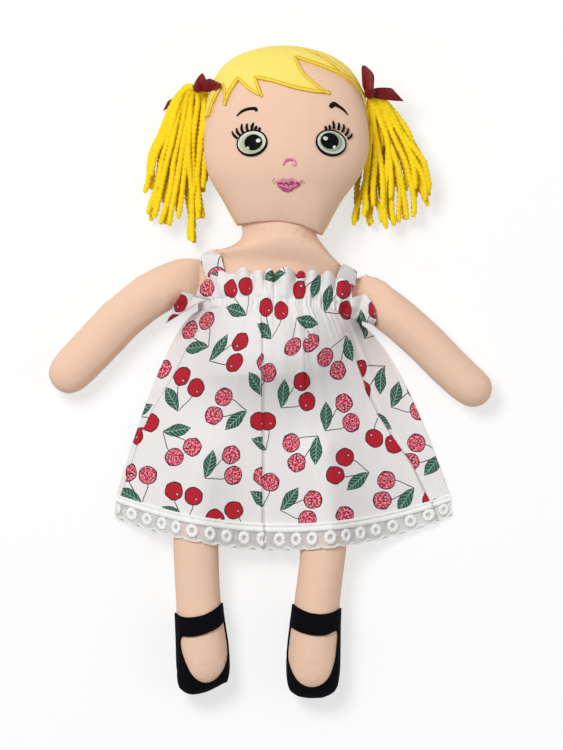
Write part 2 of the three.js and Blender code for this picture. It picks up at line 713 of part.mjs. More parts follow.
// A sheet of cloth over its supports: plan(u, v) gives each place, ripple(u, v) lifts it into folds
function hangingCloth({ columns, rows, plan, ripple, supports, thickness }) {
	const places = [];
	for (let row = 0; row <= rows; row ++) {
		for (let column = 0; column <= columns; column ++) {
			const u = 2 * column / columns - 1;
			const v = row / rows;
			const [x, y] = plan(u, v);
			const halfCell = [-1, 0, 1];
			const felt = halfCell.flatMap(i => halfCell.map(j => plan(
				THREE.MathUtils.clamp(u + i / columns, -1, 1),
				THREE.MathUtils.clamp(v + j / rows / 2, 0, 1)
			)));
			places.push({ x, y, top: topUnder(supports, felt), lift: ripple(u, v) });
		}
	}
	const layers = [[], []];
	for (const here of places) {
		const apart = other => Math.hypot(here.x - other.x, here.y - other.y);
		const held = Math.max(...places.map(other => other.top - clothSlope * apart(other)));
		const height = held + (held > bodyRest ? clothEase : 0) + here.lift;
		layers[0].push(here.x, here.y, height);
		layers[1].push(here.x, here.y, height + thickness);
	}
	const wide = columns + 1;
	const count = places.length;
	const faces = [];
	const quad = (a, b, c, d) => faces.push(a, b, c, a, c, d);
	for (let row = 0; row < rows; row ++) {
		for (let column = 0; column < columns; column ++) {
			const a = row * wide + column;
			quad(a, a + 1, a + wide + 1, a + wide);
			quad(count + a, count + a + wide, count + a + wide + 1, count + a + 1);
		}
	}
	const upTo = (length, place) => Array.from({ length }, (_, index) => place(index));
	const rim = [
		...upTo(columns, column => column),
		...upTo(rows, row => row * wide + columns),
		...upTo(columns, column => rows * wide + columns - column),
		...upTo(rows, row => (rows - row) * wide)
	];
	rim.forEach((a, index) => {
		const b = rim[(index + 1) % rim.length];
		quad(a, count + a, count + b, b);
	});
	const geometry = new THREE.BufferGeometry();
	geometry.setAttribute('position', new THREE.Float32BufferAttribute([...layers[0], ...layers[1]], 3));
	geometry.setIndex(faces);
	return solidOf(geometry);
}

// Frill: stands up from the elastic in front and fans out to a flap under each arm
const flapTurn = THREE.MathUtils.degToRad(115);
const frillWaves = 9;
const frillHemWaves = 6.6;
const frillSupports = [torso, armLeft, armRight, elastic, strapLeft, strapRight];
const frill = hangingCloth({
	columns: 44,
	rows: 4,
	thickness: dressCloth,
	supports: frillSupports,
	plan: (toLeft, v) => {
		const u = - toLeft;
		const heading = Math.PI / 2 - Math.sign(u) * flapTurn * atSides(u);
		const reach = v * (frillWidth + frillWave / 2 * Math.sin(u * frillHemWaves * Math.PI));
		const baseX = shoulderX + u * (clothHalf + touch);
		const baseY = elasticY(u) + elasticWidth / 2 + touch;
		return [baseX + Math.cos(heading) * reach, baseY + Math.sin(heading) * reach];
	},
	ripple: (u, v) => v * frillWave * (1 + Math.sin(u * frillWaves * Math.PI))
});
addPiece('dress_frill', frill, whiteCotton);
const frillBackOutline = bandOutline(elasticWidth / 2 + touch, frillWidth, frillBackShare);
addPiece('dress_frill_back', prism(frillBackOutline, 0, dressCloth), whiteCotton);

// Skirt: gathered at the elastic, flared to the hem, with the main folds of the front panel
const foldShares = [
	[-0.62, -0.95, 0.1, 0.8],
	[-0.36, -0.5, 0.08, 0.45],
	[-0.1, -0.08, 0.06, 1],
	[0.22, 0.3, 0.09, 0.75],
	[0.5, 0.58, 0.08, 0.45],
	[0.72, 0.86, 0.09, 0.9]
];
const hemY = chestY - elasticWidth / 2 - touch - skirtLength;
const flareShare = 0.65;
const foldStartShare = 0.25;
const foldGrowth = 2.5;
const gatherFade = 4;
const gatherCount = 22;

function skirtPlan(u, v, beyond = 0) {
	const topX = shoulderX + u * (clothHalf + touch);
	const topY = elasticY(u) - elasticWidth / 2 - touch;
	const hemX = shoulderX + hemShift + u * skirtHemWidth / 2;
	const bottomY = hemY + hemSag * u * u;
	const length = Math.hypot(hemX - topX, bottomY - topY);
	const onward = beyond / length;
	return [
		topX + (hemX - topX) * (Math.pow(v, flareShare) + flareShare * onward),
		topY + (bottomY - topY) * (v + onward)
	];
}

function skirtRipple(u, v) {
	const grown = Math.min(1, foldStartShare + foldGrowth * v);
	const folds = foldShares.reduce((sum, [atElastic, atHem, width, share]) => {
		const middle = THREE.MathUtils.lerp(atElastic, atHem, v);
		return sum + share * Math.exp(- (((u - middle) / width) ** 2));
	}, 0);
	const gathers = Math.max(0, 1 - gatherFade * v) * (0.5 + 0.5 * Math.cos(gatherCount * Math.PI * u));
	return foldHeight * grown * folds * (1 - u ** 8) + gatherHeight * gathers;
}
const skirtSupports = [torso, legLeft, legRight, armLeft, armRight];
const skirtFront = hangingCloth({
	columns: 44,
	rows: 10,
	thickness: dressCloth,
	supports: skirtSupports,
	plan: skirtPlan,
	ripple: skirtRipple
});
addPiece('skirt_front', skirtFront, whiteCotton);

// The back panel lies flat on the table under the doll
const hemCount = Math.round(skirtHemWidth / lacePitch);
function acrossSkirt(v, count, beyond = () => 0) {
	return Array.from({ length: count + 1 }, (_, step) => skirtPlan(2 * step / count - 1, v, beyond(step)));
}
const downSide = side => Array.from({ length: 6 }, (_, step) => skirtPlan(side, step / 6));
const skirtBackOutline = [
	...acrossSkirt(1, 16),
	...downSide(1).reverse(),
	...acrossSkirt(0, 16).reverse().slice(1, -1),
	...downSide(-1)
];
addPiece('skirt_back', prism(skirtBackOutline, 0, dressCloth), whiteCotton);

// Eyelet lace: a scalloped strip along each hem with a hole in every scallop
const scallop = share => laceWidth - scallopDepth * (1 - Math.abs(Math.sin(Math.PI * share)));
const eyeletDrop = touch + eyeletShare * laceWidth;

function withEyelets(strip) {
	for (let index = 0; index < hemCount; index ++) {
		const [x, y] = skirtPlan(2 * (index + 0.5) / hemCount - 1, 1, eyeletDrop);
		const eyelet = prism(ovalPoints(x, y, 2 * eyeletRadius, 2 * eyeletRadius, 0, 6), - overrun, overrun);
		strip = strip.subtract(eyelet);
	}
	return strip;
}
const laceFront = hangingCloth({
	columns: 3 * hemCount,
	rows: 2,
	thickness: laceCloth,
	supports: skirtSupports,
	plan: (u, v) => skirtPlan(u, 1, touch + v * scallop((u + 1) / 2 * hemCount)),
	ripple: (u, v) => skirtRipple(u, 1)
});
addPiece('lace_front', withEyelets(laceFront), laceCotton);
const laceBackOutline = [
	...acrossSkirt(1, 3 * hemCount, step => touch + scallop(step / 3)),
	...acrossSkirt(1, 16, () => touch).reverse()
];
addPiece('lace_back', withEyelets(prism(laceBackOutline, 0, laceCloth)), laceCotton);

export default doll;
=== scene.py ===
import math
import random

import bmesh
import bpy
import numpy as np
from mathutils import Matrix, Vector, noise
from mathutils.bvhtree import BVHTree
from mathutils.geometry import delaunay_2d_cdt


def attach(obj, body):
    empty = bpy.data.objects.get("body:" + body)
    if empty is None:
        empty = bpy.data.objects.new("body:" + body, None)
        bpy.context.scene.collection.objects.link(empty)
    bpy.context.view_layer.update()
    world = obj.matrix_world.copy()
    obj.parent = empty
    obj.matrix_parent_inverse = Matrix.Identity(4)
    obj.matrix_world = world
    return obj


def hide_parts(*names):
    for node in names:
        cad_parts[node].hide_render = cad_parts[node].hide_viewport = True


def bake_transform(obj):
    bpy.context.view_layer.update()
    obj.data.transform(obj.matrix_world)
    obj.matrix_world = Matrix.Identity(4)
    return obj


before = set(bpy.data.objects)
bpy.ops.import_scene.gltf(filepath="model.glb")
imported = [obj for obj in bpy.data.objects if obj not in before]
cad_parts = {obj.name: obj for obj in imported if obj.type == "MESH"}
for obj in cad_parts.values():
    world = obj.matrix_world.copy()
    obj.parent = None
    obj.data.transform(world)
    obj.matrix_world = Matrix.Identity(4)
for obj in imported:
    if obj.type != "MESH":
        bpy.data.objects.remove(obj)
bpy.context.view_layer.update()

# The photograph: the doll lies on its back and is seen from straight above, from far away.
# A place that was measured in the photograph is turned to metres by its scale and its middle.
photo_scale = 0.000613
photo_middle = (282, 350)
photo_size = (563, 750)
camera_distance = 12.0
camera_aims_at_height = 0.03
camera_sensor = 0.036


def photo_point(px, py, z=0.0):
    return Vector(((px - photo_middle[0]) * photo_scale, (photo_middle[1] - py) * photo_scale, z))


bpy.ops.object.select_all(action="DESELECT")
photo_centre = photo_point(photo_size[0] / 2, photo_size[1] / 2, camera_aims_at_height + camera_distance)
bpy.ops.object.camera_add(location=photo_centre, rotation=(0, 0, 0))
camera = bpy.context.object
camera.name = "camera"
camera.data.sensor_width = camera_sensor * 1000
camera.data.lens = camera_sensor * 1000 * camera_distance / (photo_size[1] * photo_scale)
camera.data.clip_start = 0.1
camera.data.clip_end = 40
bpy.context.scene.camera = camera
bpy.context.scene.view_settings.view_transform = "Standard"


# The stage: a plain white table top that runs out of sight, lit by a big soft lamp at the upper left,
# a weaker one at the right and an even white surround. To the camera the table is plain white paper.
def linear(code):
    parts = [int(code[i:i + 2], 16) / 255 for i in (0, 2, 4)]
    return [p / 12.92 if p <= 0.04045 else ((p + 0.055) / 1.055) ** 2.4 for p in parts] + [1.0]


def new_material(name, color, roughness):
    material = bpy.data.materials.new(name)
    material.use_nodes = True
    shader = material.node_tree.nodes["Principled BSDF"]
    shader.inputs["Base Color"].default_value = linear(color)
    shader.inputs["Roughness"].default_value = roughness
    return material, shader


def add_node(material, kind, settings=None, links=None):
    tree = material.node_tree
    node = tree.nodes.new(kind)
    for key, value in (settings or {}).items():
        if isinstance(key, str) and hasattr(node, key):
            setattr(node, key, value)
        else:
            node.inputs[key].default_value = value
    for key, source in (links or {}).items():
        tree.links.new(source, node.inputs[key])
    return node


# A step of arithmetic in a material: each value is a number, or what another node gives.
def math_node(material, operation, *values, kind="ShaderNodeMath", gives=0):
    settings, links = {"operation": operation}, {}
    for k, value in enumerate(values):
        (links if isinstance(value, bpy.types.NodeSocket) else settings)[k] = value
    return add_node(material, kind, settings, links).outputs[gives]


table_span = 8.0
bpy.ops.mesh.primitive_plane_add(size=table_span, location=(0, 0, 0))
table_top = bpy.context.object
table_top.name = "table_top"
table_paper, paper_shader = new_material("matt white paper", "FFFFFF", 0.9)
paper_tree = table_paper.node_tree
to_eye = add_node(table_paper, "ShaderNodeLightPath")
plain_white = add_node(table_paper, "ShaderNodeEmission", {"Strength": 1.0})
seen_or_mirrored = math_node(table_paper, "ADD", to_eye.outputs["Is Camera Ray"],
                             to_eye.outputs["Is Glossy Ray"])
seen_at_all = math_node(table_paper, "ADD", seen_or_mirrored, to_eye.outputs["Is Transmission Ray"])
white_share = math_node(table_paper, "MULTIPLY", seen_at_all, 0.65)
paper_mix = add_node(table_paper, "ShaderNodeMixShader", None, {
    0: white_share, 1: paper_shader.outputs[0], 2: plain_white.outputs[0]})
paper_tree.links.new(paper_mix.outputs[0], paper_tree.nodes["Material Output"].inputs["Surface"])
table_top.data.materials.append(table_paper)

surround = bpy.data.worlds.new("white surround")
bpy.context.scene.world = surround
surround.use_nodes = True
surround_light = surround.node_tree.nodes["Background"]
surround_light.inputs["Color"].default_value = (1, 1, 1, 1)
surround_light.inputs["Strength"].default_value = 0.34


def add_lamp(name, place, size, watts):
    bpy.ops.object.light_add(type="AREA", location=place)
    lamp = bpy.context.object
    lamp.name = name
    lamp.data.shape = "DISK"
    lamp.data.size = size
    lamp.data.energy = watts
    lamp.rotation_euler = (-Vector(place)).to_track_quat("-Z", "Y").to_euler()


add_lamp("lamp_upper_left", (-0.8, 0.9, 2.1), 1.0, 40)
add_lamp("lamp_right", (1.6, -0.3, 1.3), 1.4, 5)


# The stuffed body: torso, neck, arms and legs, cut from skin-coloured plain-weave cotton, sewn edge
# to edge and stuffed. The cloth is blown up from the inside, and drawn in along the limb seams.
skin_voxel = 0.0022
armhole_left = -0.05015
armhole_right = 0.04765
armhole_middle = 0.04
hip_line = -0.0397
legs_part_at = -0.012
arm_hangs_below = 0.008
hip_side = -0.062
seam_height = 0.0155
seam_depth = 0.0005
seam_half_width = 0.0011
pucker_depth = 0.00035
pucker_reach = 0.006
puckers_round = 17
from_above = Vector((0, 0, -1))
above_all = 0.3


def select_only(*objects):
    bpy.ops.object.select_all(action="DESELECT")
    for thing in objects:
        thing.select_set(True)
    bpy.context.view_layer.objects.active = objects[0]


def new_object(name, mesh):
    thing = bpy.data.objects.new(name, mesh)
    bpy.context.scene.collection.objects.link(thing)
    return thing


def edit_whole(piece, operator, **settings):
    select_only(piece)
    bpy.ops.object.mode_set(mode="EDIT")
    bpy.ops.mesh.select_all(action="SELECT")
    operator(**settings)
    bpy.ops.object.mode_set(mode="OBJECT")


def copy_of_nodes(name, nodes):
    copies = [new_object(name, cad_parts[node].data.copy()) for node in nodes]
    for copy in copies:
        copy.data.materials.clear()
    select_only(*copies)
    if len(copies) > 1:
        bpy.ops.object.join()
    piece = bpy.context.object
    edit_whole(piece, bpy.ops.mesh.remove_doubles, threshold=0.00001)
    return piece


def add_modifier(piece, kind, **settings):
    select_only(piece)
    bpy.ops.object.modifier_add(type=kind)
    modifier = piece.modifiers[-1]
    for key, value in settings.items():
        setattr(modifier, key, value)
    return modifier


def apply_modifier(piece, kind, **settings):
    modifier = add_modifier(piece, kind, **settings)
    bpy.ops.object.modifier_apply(modifier=modifier.name)


def vectors_of(piece, kind):
    flat = np.zeros(len(piece.data.vertices) * 3)
    piece.data.vertices.foreach_get(kind, flat)
    return flat.reshape(-1, 3)


def points_of(piece):
    return vectors_of(piece, "co")


def normals_of(piece):
    return vectors_of(piece, "normal")


def set_points(piece, points):
    piece.data.vertices.foreach_set("co", points.ravel())
    piece.data.update()


# Pressure from the inside swells the cloth, at most by the cap.
blow_steps = 20


def blow_up(piece, cap, growth):
    rest = points_of(piece)
    cloth = add_modifier(piece, "CLOTH")
    settings = cloth.settings
    settings.quality = 5
    settings.mass = 0.15
    settings.tension_stiffness = 20
    settings.compression_stiffness = 20
    settings.bending_stiffness = 0.3
    settings.use_pressure = True
    settings.uniform_pressure_force = 4
    settings.shrink_min = -growth
    settings.effector_weights.gravity = 0
    cloth.collision_settings.use_collision = False
    scene = bpy.context.scene
    cloth.point_cache.frame_start = 1
    cloth.point_cache.frame_end = blow_steps
    for step in range(blow_steps):
        scene.frame_set(step + 1)
    bpy.ops.object.modifier_apply(modifier=cloth.name)
    moved = points_of(piece) - rest
    length = np.linalg.norm(moved, axis=1)
    share = np.minimum(1, cap / np.maximum(length, 1e-9))
    set_points(piece, rest + moved * share[:, None])
    scene.frame_set(1)


# The solids of some nodes as one smooth cloth, stuffed full.
def stuffed(name, nodes, smoothings, cap, growth):
    piece = copy_of_nodes(name, nodes)
    apply_modifier(piece, "REMESH", mode="VOXEL", voxel_size=skin_voxel)
    apply_modifier(piece, "SMOOTH", factor=0.5, iterations=smoothings)
    blow_up(piece, cap, growth)
    apply_modifier(piece, "SUBSURF", levels=1, render_levels=1)
    bpy.ops.object.shade_smooth()
    return piece


def cut_along(piece, place, direction, drop_beyond=False):
    edit_whole(piece, bpy.ops.mesh.bisect, plane_co=place, plane_no=direction, clear_outer=drop_beyond)


# A cloth that is cut through its thickness gets its narrow cut edge, from one side to the other.
def close_cut_edge(work):
    name_of = work.verts.layers.int.get("cloth_point")
    if name_of is None:
        return
    found = {}
    for edge in work.edges:
        if edge.is_boundary:
            found.setdefault(tuple(sorted(v[name_of] for v in edge.verts)), []).append(edge)
    for pair in found.values():
        if len(pair) == 2:
            corner = pair[0].link_loops[0]
            a, b = corner.vert, corner.link_loop_next.vert
            other = {v[name_of]: v for v in pair[1].verts}
            work.faces.new((b, a, other[a[name_of]], other[b[name_of]]))


# Takes a piece apart into several, and keeps the shading across the cuts.
def take_apart(piece, face_labels, names):
    mesh = piece.data
    kept = mesh.attributes.new("kept_normal", "FLOAT_VECTOR", "CORNER")
    corner_normals = np.array([tuple(n.vector) for n in mesh.corner_normals])
    kept.data.foreach_set("vector", corner_normals.ravel())
    pieces = []
    for label, name in enumerate(names):
        part = new_object(name, mesh.copy())
        work = bmesh.new()
        work.from_mesh(part.data)
        work.faces.ensure_lookup_table()
        others = [face for face in work.faces if face_labels[face.index] != label]
        bmesh.ops.delete(work, geom=others, context="FACES")
        close_cut_edge(work)
        work.to_mesh(part.data)
        work.free()
        kept_here = part.data.attributes["kept_normal"]
        normals = np.zeros(len(part.data.loops) * 3)
        kept_here.data.foreach_get("vector", normals)
        part.data.normals_split_custom_set(normals.reshape(-1, 3).tolist())
        part.data.attributes.remove(part.data.attributes["kept_normal"])
        pieces.append(part)
    bpy.data.objects.remove(piece)
    return pieces


def add_bump(material, shader, height, depth):
    bump = add_node(material, "ShaderNodeBump", {"Distance": depth}, {"Height": height})
    material.node_tree.links.new(bump.outputs[0], shader.inputs["Normal"])


# Plain weave: fine threads both ways, some thicker than others, that catch the light.
def add_weave(material, shader, color, thread, depth, coordinates="Object"):
    place = add_node(material, "ShaderNodeTexCoord").outputs[coordinates]
    threads = []
    for stretch in ((1, 16, 5), (16, 1, 5)):
        run = add_node(material, "ShaderNodeMapping", {"Scale": [1 / (thread * s) for s in stretch]},
                       {"Vector": place})
        lines = add_node(material, "ShaderNodeTexNoise", {"Scale": 1.0, "Detail": 3.0, "Roughness": 0.6},
                         {"Vector": run.outputs[0]})
        threads.append(lines.outputs["Fac"])
    both = math_node(material, "ADD", *threads)
    add_bump(material, shader, both, depth)
    tone = add_node(material, "ShaderNodeMapRange",
                    {"From Min": 0.7, "From Max": 1.3, "To Min": 0.965, "To Max": 1.02}, {"Value": both})
    tint = add_node(material, "ShaderNodeHueSaturation", {"Color": linear(color)},
                    {"Value": tone.outputs[0]})
    material.node_tree.links.new(tint.outputs[0], shader.inputs["Base Color"])
    return tint


skin_color = "EFC9AF"
skin_cotton, skin_shader = new_material("skin cotton", skin_color, 0.85)
add_weave(skin_cotton, skin_shader, skin_color, 0.0005, 0.00016)

body_nodes = ["torso", "neck", "arm_left", "arm_right", "leg_left", "leg_right"]
body_skin = stuffed("body_skin", body_nodes, smoothings=4, cap=0.003, growth=0.012)
cut_along(body_skin, (armhole_left, 0, 0), (1, 0, 0))
cut_along(body_skin, (armhole_right, 0, 0), (1, 0, 0))
cut_along(body_skin, (0, hip_line, 0), (0, 1, 0))

skin_points = points_of(body_skin)
skin_x, skin_y, skin_z = skin_points.T
left_side = np.where(skin_y > arm_hangs_below, np.abs(skin_x - armhole_left), 1)
right_side = np.where(skin_y > hip_line, np.abs(skin_x - armhole_right), 1)
seam_distance = np.minimum(left_side, right_side)
armhole_angle = np.arctan2(skin_z - seam_height, skin_y - armhole_middle)
pucker = pucker_depth * np.exp(-seam_distance / pucker_reach) * np.sin(armhole_angle * puckers_round)
groove = seam_depth * np.exp(-(seam_distance / seam_half_width) ** 2)
set_points(body_skin, skin_points + normals_of(body_skin) * (pucker - groove)[:, None])

# The end of each foot is drawn to its own outline: its lowest place below each place across.
foot_start = -0.186
foot_places = 32
shortest_foot = 0.004
stretch_bounds = (0.6, 1.5)
felt_thickness = 0.0013
foot_ends = [
    (173, 234, [(173, 680), (177, 684), (182, 690), (186.7, 695), (196.7, 694.7), (207.3, 692),
                (216.7, 687.3), (226, 682), (230.7, 676), (234, 670)]),
    (281, 343, [(281, 676), (284.7, 682.7), (290, 690.7), (298, 697.3), (310, 698.7), (323.3, 698),
                (333.3, 694), (336.7, 686.7), (340.7, 676), (343, 670)]),
]
skin_points = points_of(body_skin)
for low_px, high_px, outline in foot_ends:
    low_x, high_x = photo_point(low_px, 0).x, photo_point(high_px, 0).x
    places = np.linspace(low_x, high_x, foot_places)
    foot = (skin_points[:, 1] < foot_start) & (skin_points[:, 0] > low_x) & (skin_points[:, 0] < high_x)
    foot_x, foot_y = skin_points[foot, 0], skin_points[foot, 1]
    nearest = np.argmin(np.abs(foot_x[:, None] - places[None, :]), axis=1)
    ends_now = np.array([foot_y[nearest == k].min() if (nearest == k).any() else foot_start
                         for k in range(foot_places)])
    wanted_x = [photo_point(px, 0).x for px, _ in outline]
    wanted_y = [photo_point(0, py).y + felt_thickness for _, py in outline]
    wanted = np.interp(places, wanted_x, wanted_y)
    stretch = np.clip((wanted - foot_start) / np.minimum(ends_now - foot_start, -shortest_foot),
                      *stretch_bounds)
    for step in range(3):
        stretch[1:-1] = (stretch[:-2] + 2 * stretch[1:-1] + stretch[2:]) / 4
    pull = np.interp(foot_x, places, stretch)
    skin_points[foot, 1] = foot_start + (foot_y - foot_start) * pull

# The right shoulder slopes straight down to the arm.
shoulder_low = 0.032
shoulder_rise = 0.018
shoulder_places = [0.0230, 0.0300, 0.0370, 0.0440, 0.0490]
shoulder_drops = [0.0, 0.0026, 0.0048, 0.0028, 0.0]
shoulder_share = np.clip((skin_points[:, 1] - shoulder_low) / shoulder_rise, 0, 1)
skin_points[:, 1] -= np.interp(skin_points[:, 0], shoulder_places, shoulder_drops) * shoulder_share
set_points(body_skin, skin_points)

body_shell = BVHTree.FromObject(body_skin, bpy.context.evaluated_depsgraph_get())
skin_labels = []
for face in body_skin.data.polygons:
    x, y, z = face.center
    if y < hip_line:
        skin_labels.append(3 if x < legs_part_at else 4)
    elif x < armhole_left and (y > arm_hangs_below or x < hip_side):
        skin_labels.append(1)
    elif x > armhole_right:
        skin_labels.append(2)
    else:
        skin_labels.append(0)
body_skin.data.materials.append(skin_cotton)
body_names = ["torso_skin", "arm_left_skin", "arm_right_skin", "leg_left_skin", "leg_right_skin"]
body_parts = take_apart(body_skin, skin_labels, body_names)
torso_skin, arm_left_skin, arm_right_skin, leg_left_skin, leg_right_skin = body_parts
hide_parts("torso", "neck")
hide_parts("arm_left")
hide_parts("arm_right")
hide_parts("leg_left")
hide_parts("leg_right")
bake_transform(torso_skin)
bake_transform(arm_left_skin)
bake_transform(arm_right_skin)
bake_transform(leg_left_skin)
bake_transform(leg_right_skin)


# The head: the same skin cotton, sewn in two halves and stuffed full, drawn in to the neck, where the
# seam shows as an arched line.

# A smooth line through measured places.
def curve_through(pixels, count):
    pixels = np.array(pixels, float)
    ends = np.vstack([2 * pixels[0] - pixels[1], pixels, 2 * pixels[-1] - pixels[-2]])
    result = []
    for k in range(count):
        place = k / (count - 1) * (len(pixels) - 1)
        i = min(int(place), len(pixels) - 2)
        t = place - i
        a, b, c, d = ends[i:i + 4]
        result.append(0.5 * (2 * b + (c - a) * t + (2 * a - 5 * b + 4 * c - d) * t * t
                             + (3 * b - a - 3 * c + d) * t ** 3))
    return [tuple(p) for p in result]


def flat_line(pixels):
    return np.array([tuple(photo_point(px, py))[:2] for px, py in pixels])


def seen_height(shell, x, y):
    hit = shell.ray_cast(Vector((x, y, above_all)), from_above)[0]
    return None if hit is None else hit.z


def smooth_step(value):
    value = np.clip(value, 0, 1)
    return value * value * (3 - 2 * value)


head_skin = stuffed("head_skin", ["head"], smoothings=6, cap=0.002, growth=0.008)
jaw_top = 0.102
jaw_height = 0.020
jaw_places = [-0.038, -0.0245, 0.0, 0.0227, 0.038]
jaw_drops = [0.0, 0.0068, 0.0045, 0.0112, 0.0]
head_points = points_of(head_skin)
jaw_share = smooth_step((jaw_top - head_points[:, 1]) / jaw_height)
head_points[:, 1] -= np.interp(head_points[:, 0], jaw_places, jaw_drops) * jaw_share
crown_start = 0.150
crown_drop = 0.0018
crown_share = np.clip((head_points[:, 1] - crown_start) / (head_points[:, 1].max() - crown_start), 0, 1)
head_points[:, 1] -= crown_drop * crown_share ** 1.3
neck_seam_px = [(236, 226), (241.7, 224), (261, 221.8), (281.5, 221.5), (300, 224.8), (319, 233), (326, 237)]
seam_line = flat_line(curve_through(neck_seam_px, 60))
neck_seam_lift = 0.0005
nape_height = 0.02
least_rise = -0.15
head_faces_up = normals_of(head_skin)[:, 2] > least_rise
seam_y = np.interp(head_points[:, 0], seam_line[:, 0], seam_line[:, 1])
head_points[:, 1] = np.maximum(head_points[:, 1], seam_y)
over_neck = head_faces_up & (head_points[:, 1] < jaw_top) & (head_points[:, 2] > nape_height)
for k in np.nonzero(over_neck)[0]:
    x, y, z = head_points[k]
    below = seen_height(body_shell, x, y)
    if below is not None:
        head_points[k, 2] = max(z, below + neck_seam_lift)
set_points(head_skin, head_points)
head_skin.data.materials.append(skin_cotton)
head_shell = BVHTree.FromObject(head_skin, bpy.context.evaluated_depsgraph_get())
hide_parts("head")
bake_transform(head_skin)


# The back of the head: a cap of yellow plain-weave cotton, sewn to the face all round its edge.
def push_out(piece, distance):
    set_points(piece, points_of(piece) + normals_of(piece) * distance)


head_middle = Vector((0.0026, 0.135, 0.032))
hair_seam_height = 0.0325
table_gap = 0.0002
tuck_height = 0.0255
tuck_rise = 0.003
tuck_below = 0.142
tuck_fade = 0.02
tuck_depth = 0.0015
hair_yellow = "FAE26C"
hair_cotton, hair_shader = new_material("yellow cotton", hair_yellow, 0.8)
add_weave(hair_cotton, hair_shader, hair_yellow, 0.0005, 0.0002)
hair_back = new_object("hair_back_cloth", head_skin.data.copy())
hair_back.data.materials.clear()
hair_back.data.materials.append(hair_cotton)
cut_along(hair_back, (0, 0, hair_seam_height), (0, 0, 1), drop_beyond=True)
push_out(hair_back, table_gap)
apply_modifier(hair_back, "SOLIDIFY", thickness=0.0006, offset=1)
hair_points = points_of(hair_back)
hair_points[:, 2] = np.maximum(hair_points[:, 2], table_gap)
near_seam = np.clip((hair_points[:, 2] - tuck_height) / tuck_rise, 0, 1)
at_jaw = np.clip((tuck_below - hair_points[:, 1]) / tuck_fade, 0, 1)
inward = np.array(head_middle[:2]) - hair_points[:, :2]
inward /= np.linalg.norm(inward, axis=1)[:, None]
hair_points[:, :2] += inward * (tuck_depth * near_seam * at_jaw)[:, None]
set_points(hair_back, hair_points)
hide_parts("hair_back")
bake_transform(hair_back)


# The fringe: the same yellow cotton, cut with pointed locks and laid on the forehead. Its whole edge
# is worked over in golden satin stitch, and some strands are stitched on the right of the part.

# The head's front is drawn flat round its middle: a place's distance from there is its angle from
# straight up, so that patches and threads can be cut flat and laid on the round head.
def on_head_map(px, py):
    spot = photo_point(px, py, above_all)
    hit = head_shell.ray_cast(spot, from_above)[0]
    if hit is None:
        hit = head_shell.find_nearest(photo_point(px, py, head_middle.z))[0]
    away = hit - head_middle
    tilt = away.angle(-from_above)
    turn = math.atan2(away.y, away.x)
    return (tilt * math.cos(turn), tilt * math.sin(turn))


def on_head(flat, lift):
    tilt = max(math.hypot(flat[0], flat[1]), 1e-6)
    sideways = math.sin(tilt) / tilt
    aim = Vector((flat[0] * sideways, flat[1] * sideways, math.cos(tilt)))
    far = head_middle + aim * 0.2
    hit, normal = head_shell.ray_cast(far, -aim)[:2]
    return hit + normal * lift, normal


def inside(outline, points):
    x, y = points[:, 0], points[:, 1]
    result = np.zeros(len(points), bool)
    for (x1, y1), (x2, y2) in zip(outline, np.roll(outline, -1, axis=0)):
        crosses = (y1 > y) != (y2 > y)
        with np.errstate(divide="ignore", invalid="ignore"):
            result ^= crosses & (x < (x2 - x1) * (y - y1) / (y2 - y1) + x1)
    return result


def dense(line, step, closed=False):
    line = [tuple(p) for p in line]
    if closed:
        line.append(line[0])
    result = []
    for (x1, y1), (x2, y2) in zip(line, line[1:]):
        count = max(1, round(math.hypot(x2 - x1, y2 - y1) / step))
        result += [(x1 + (x2 - x1) * k / count, y1 + (y2 - y1) * k / count) for k in range(count)]
    return result if closed else result + [line[-1]]


def mesh_piece(name, points, faces, flat=None):
    mesh = bpy.data.meshes.new(name)
    mesh.from_pydata([tuple(p) for p in points], [], faces)
    piece = new_object(name, mesh)
    if flat is not None:
        layer = mesh.uv_layers.new(name="flat")
        corners = np.zeros(len(mesh.loops), int)
        mesh.loops.foreach_get("vertex_index", corners)
        layer.data.foreach_set("uv", np.array(flat, float)[corners].ravel())
    select_only(piece)
    bpy.ops.object.shade_smooth()
    return piece


def face_outward(piece):
    edit_whole(piece, bpy.ops.mesh.normals_make_consistent, inside=False)


# A flat patch with the given outline on the head map, laid on the head.
def head_patch(name, outline, lift, thickness, spacing):
    edge = np.array(dense(outline, spacing, closed=True))
    low, high = edge.min(axis=0), edge.max(axis=0)
    across, along = np.meshgrid(np.arange(low[0], high[0], spacing), np.arange(low[1], high[1], spacing))
    across = across + (np.arange(across.shape[0]) % 2)[:, None] * spacing / 2
    grid = np.column_stack([across.ravel(), along.ravel()])
    grid = grid[inside(edge, grid)]
    gap = np.min(np.linalg.norm(grid[:, None, :] - edge[None, :, :], axis=2), axis=1)
    grid = grid[gap > spacing * 0.6]
    flat = [Vector(p) for p in np.vstack([edge, grid])]
    found = delaunay_2d_cdt(flat, [], [list(range(len(edge)))], 1, 1e-7)
    points = [on_head(p, lift)[0] for p in found[0]]
    piece = mesh_piece(name, points, found[2], found[0])
    face_outward(piece)
    if sum(face.normal.z for face in piece.data.polygons) < 0:
        piece.data.flip_normals()
    apply_modifier(piece, "SOLIDIFY", thickness=thickness, offset=-1)
    bpy.ops.object.shade_smooth_by_angle(angle=math.radians(50))
    return piece


def length_along(line):
    steps = np.linalg.norm(np.diff(line, axis=0), axis=1)
    return np.concatenate([[0], np.cumsum(steps)])


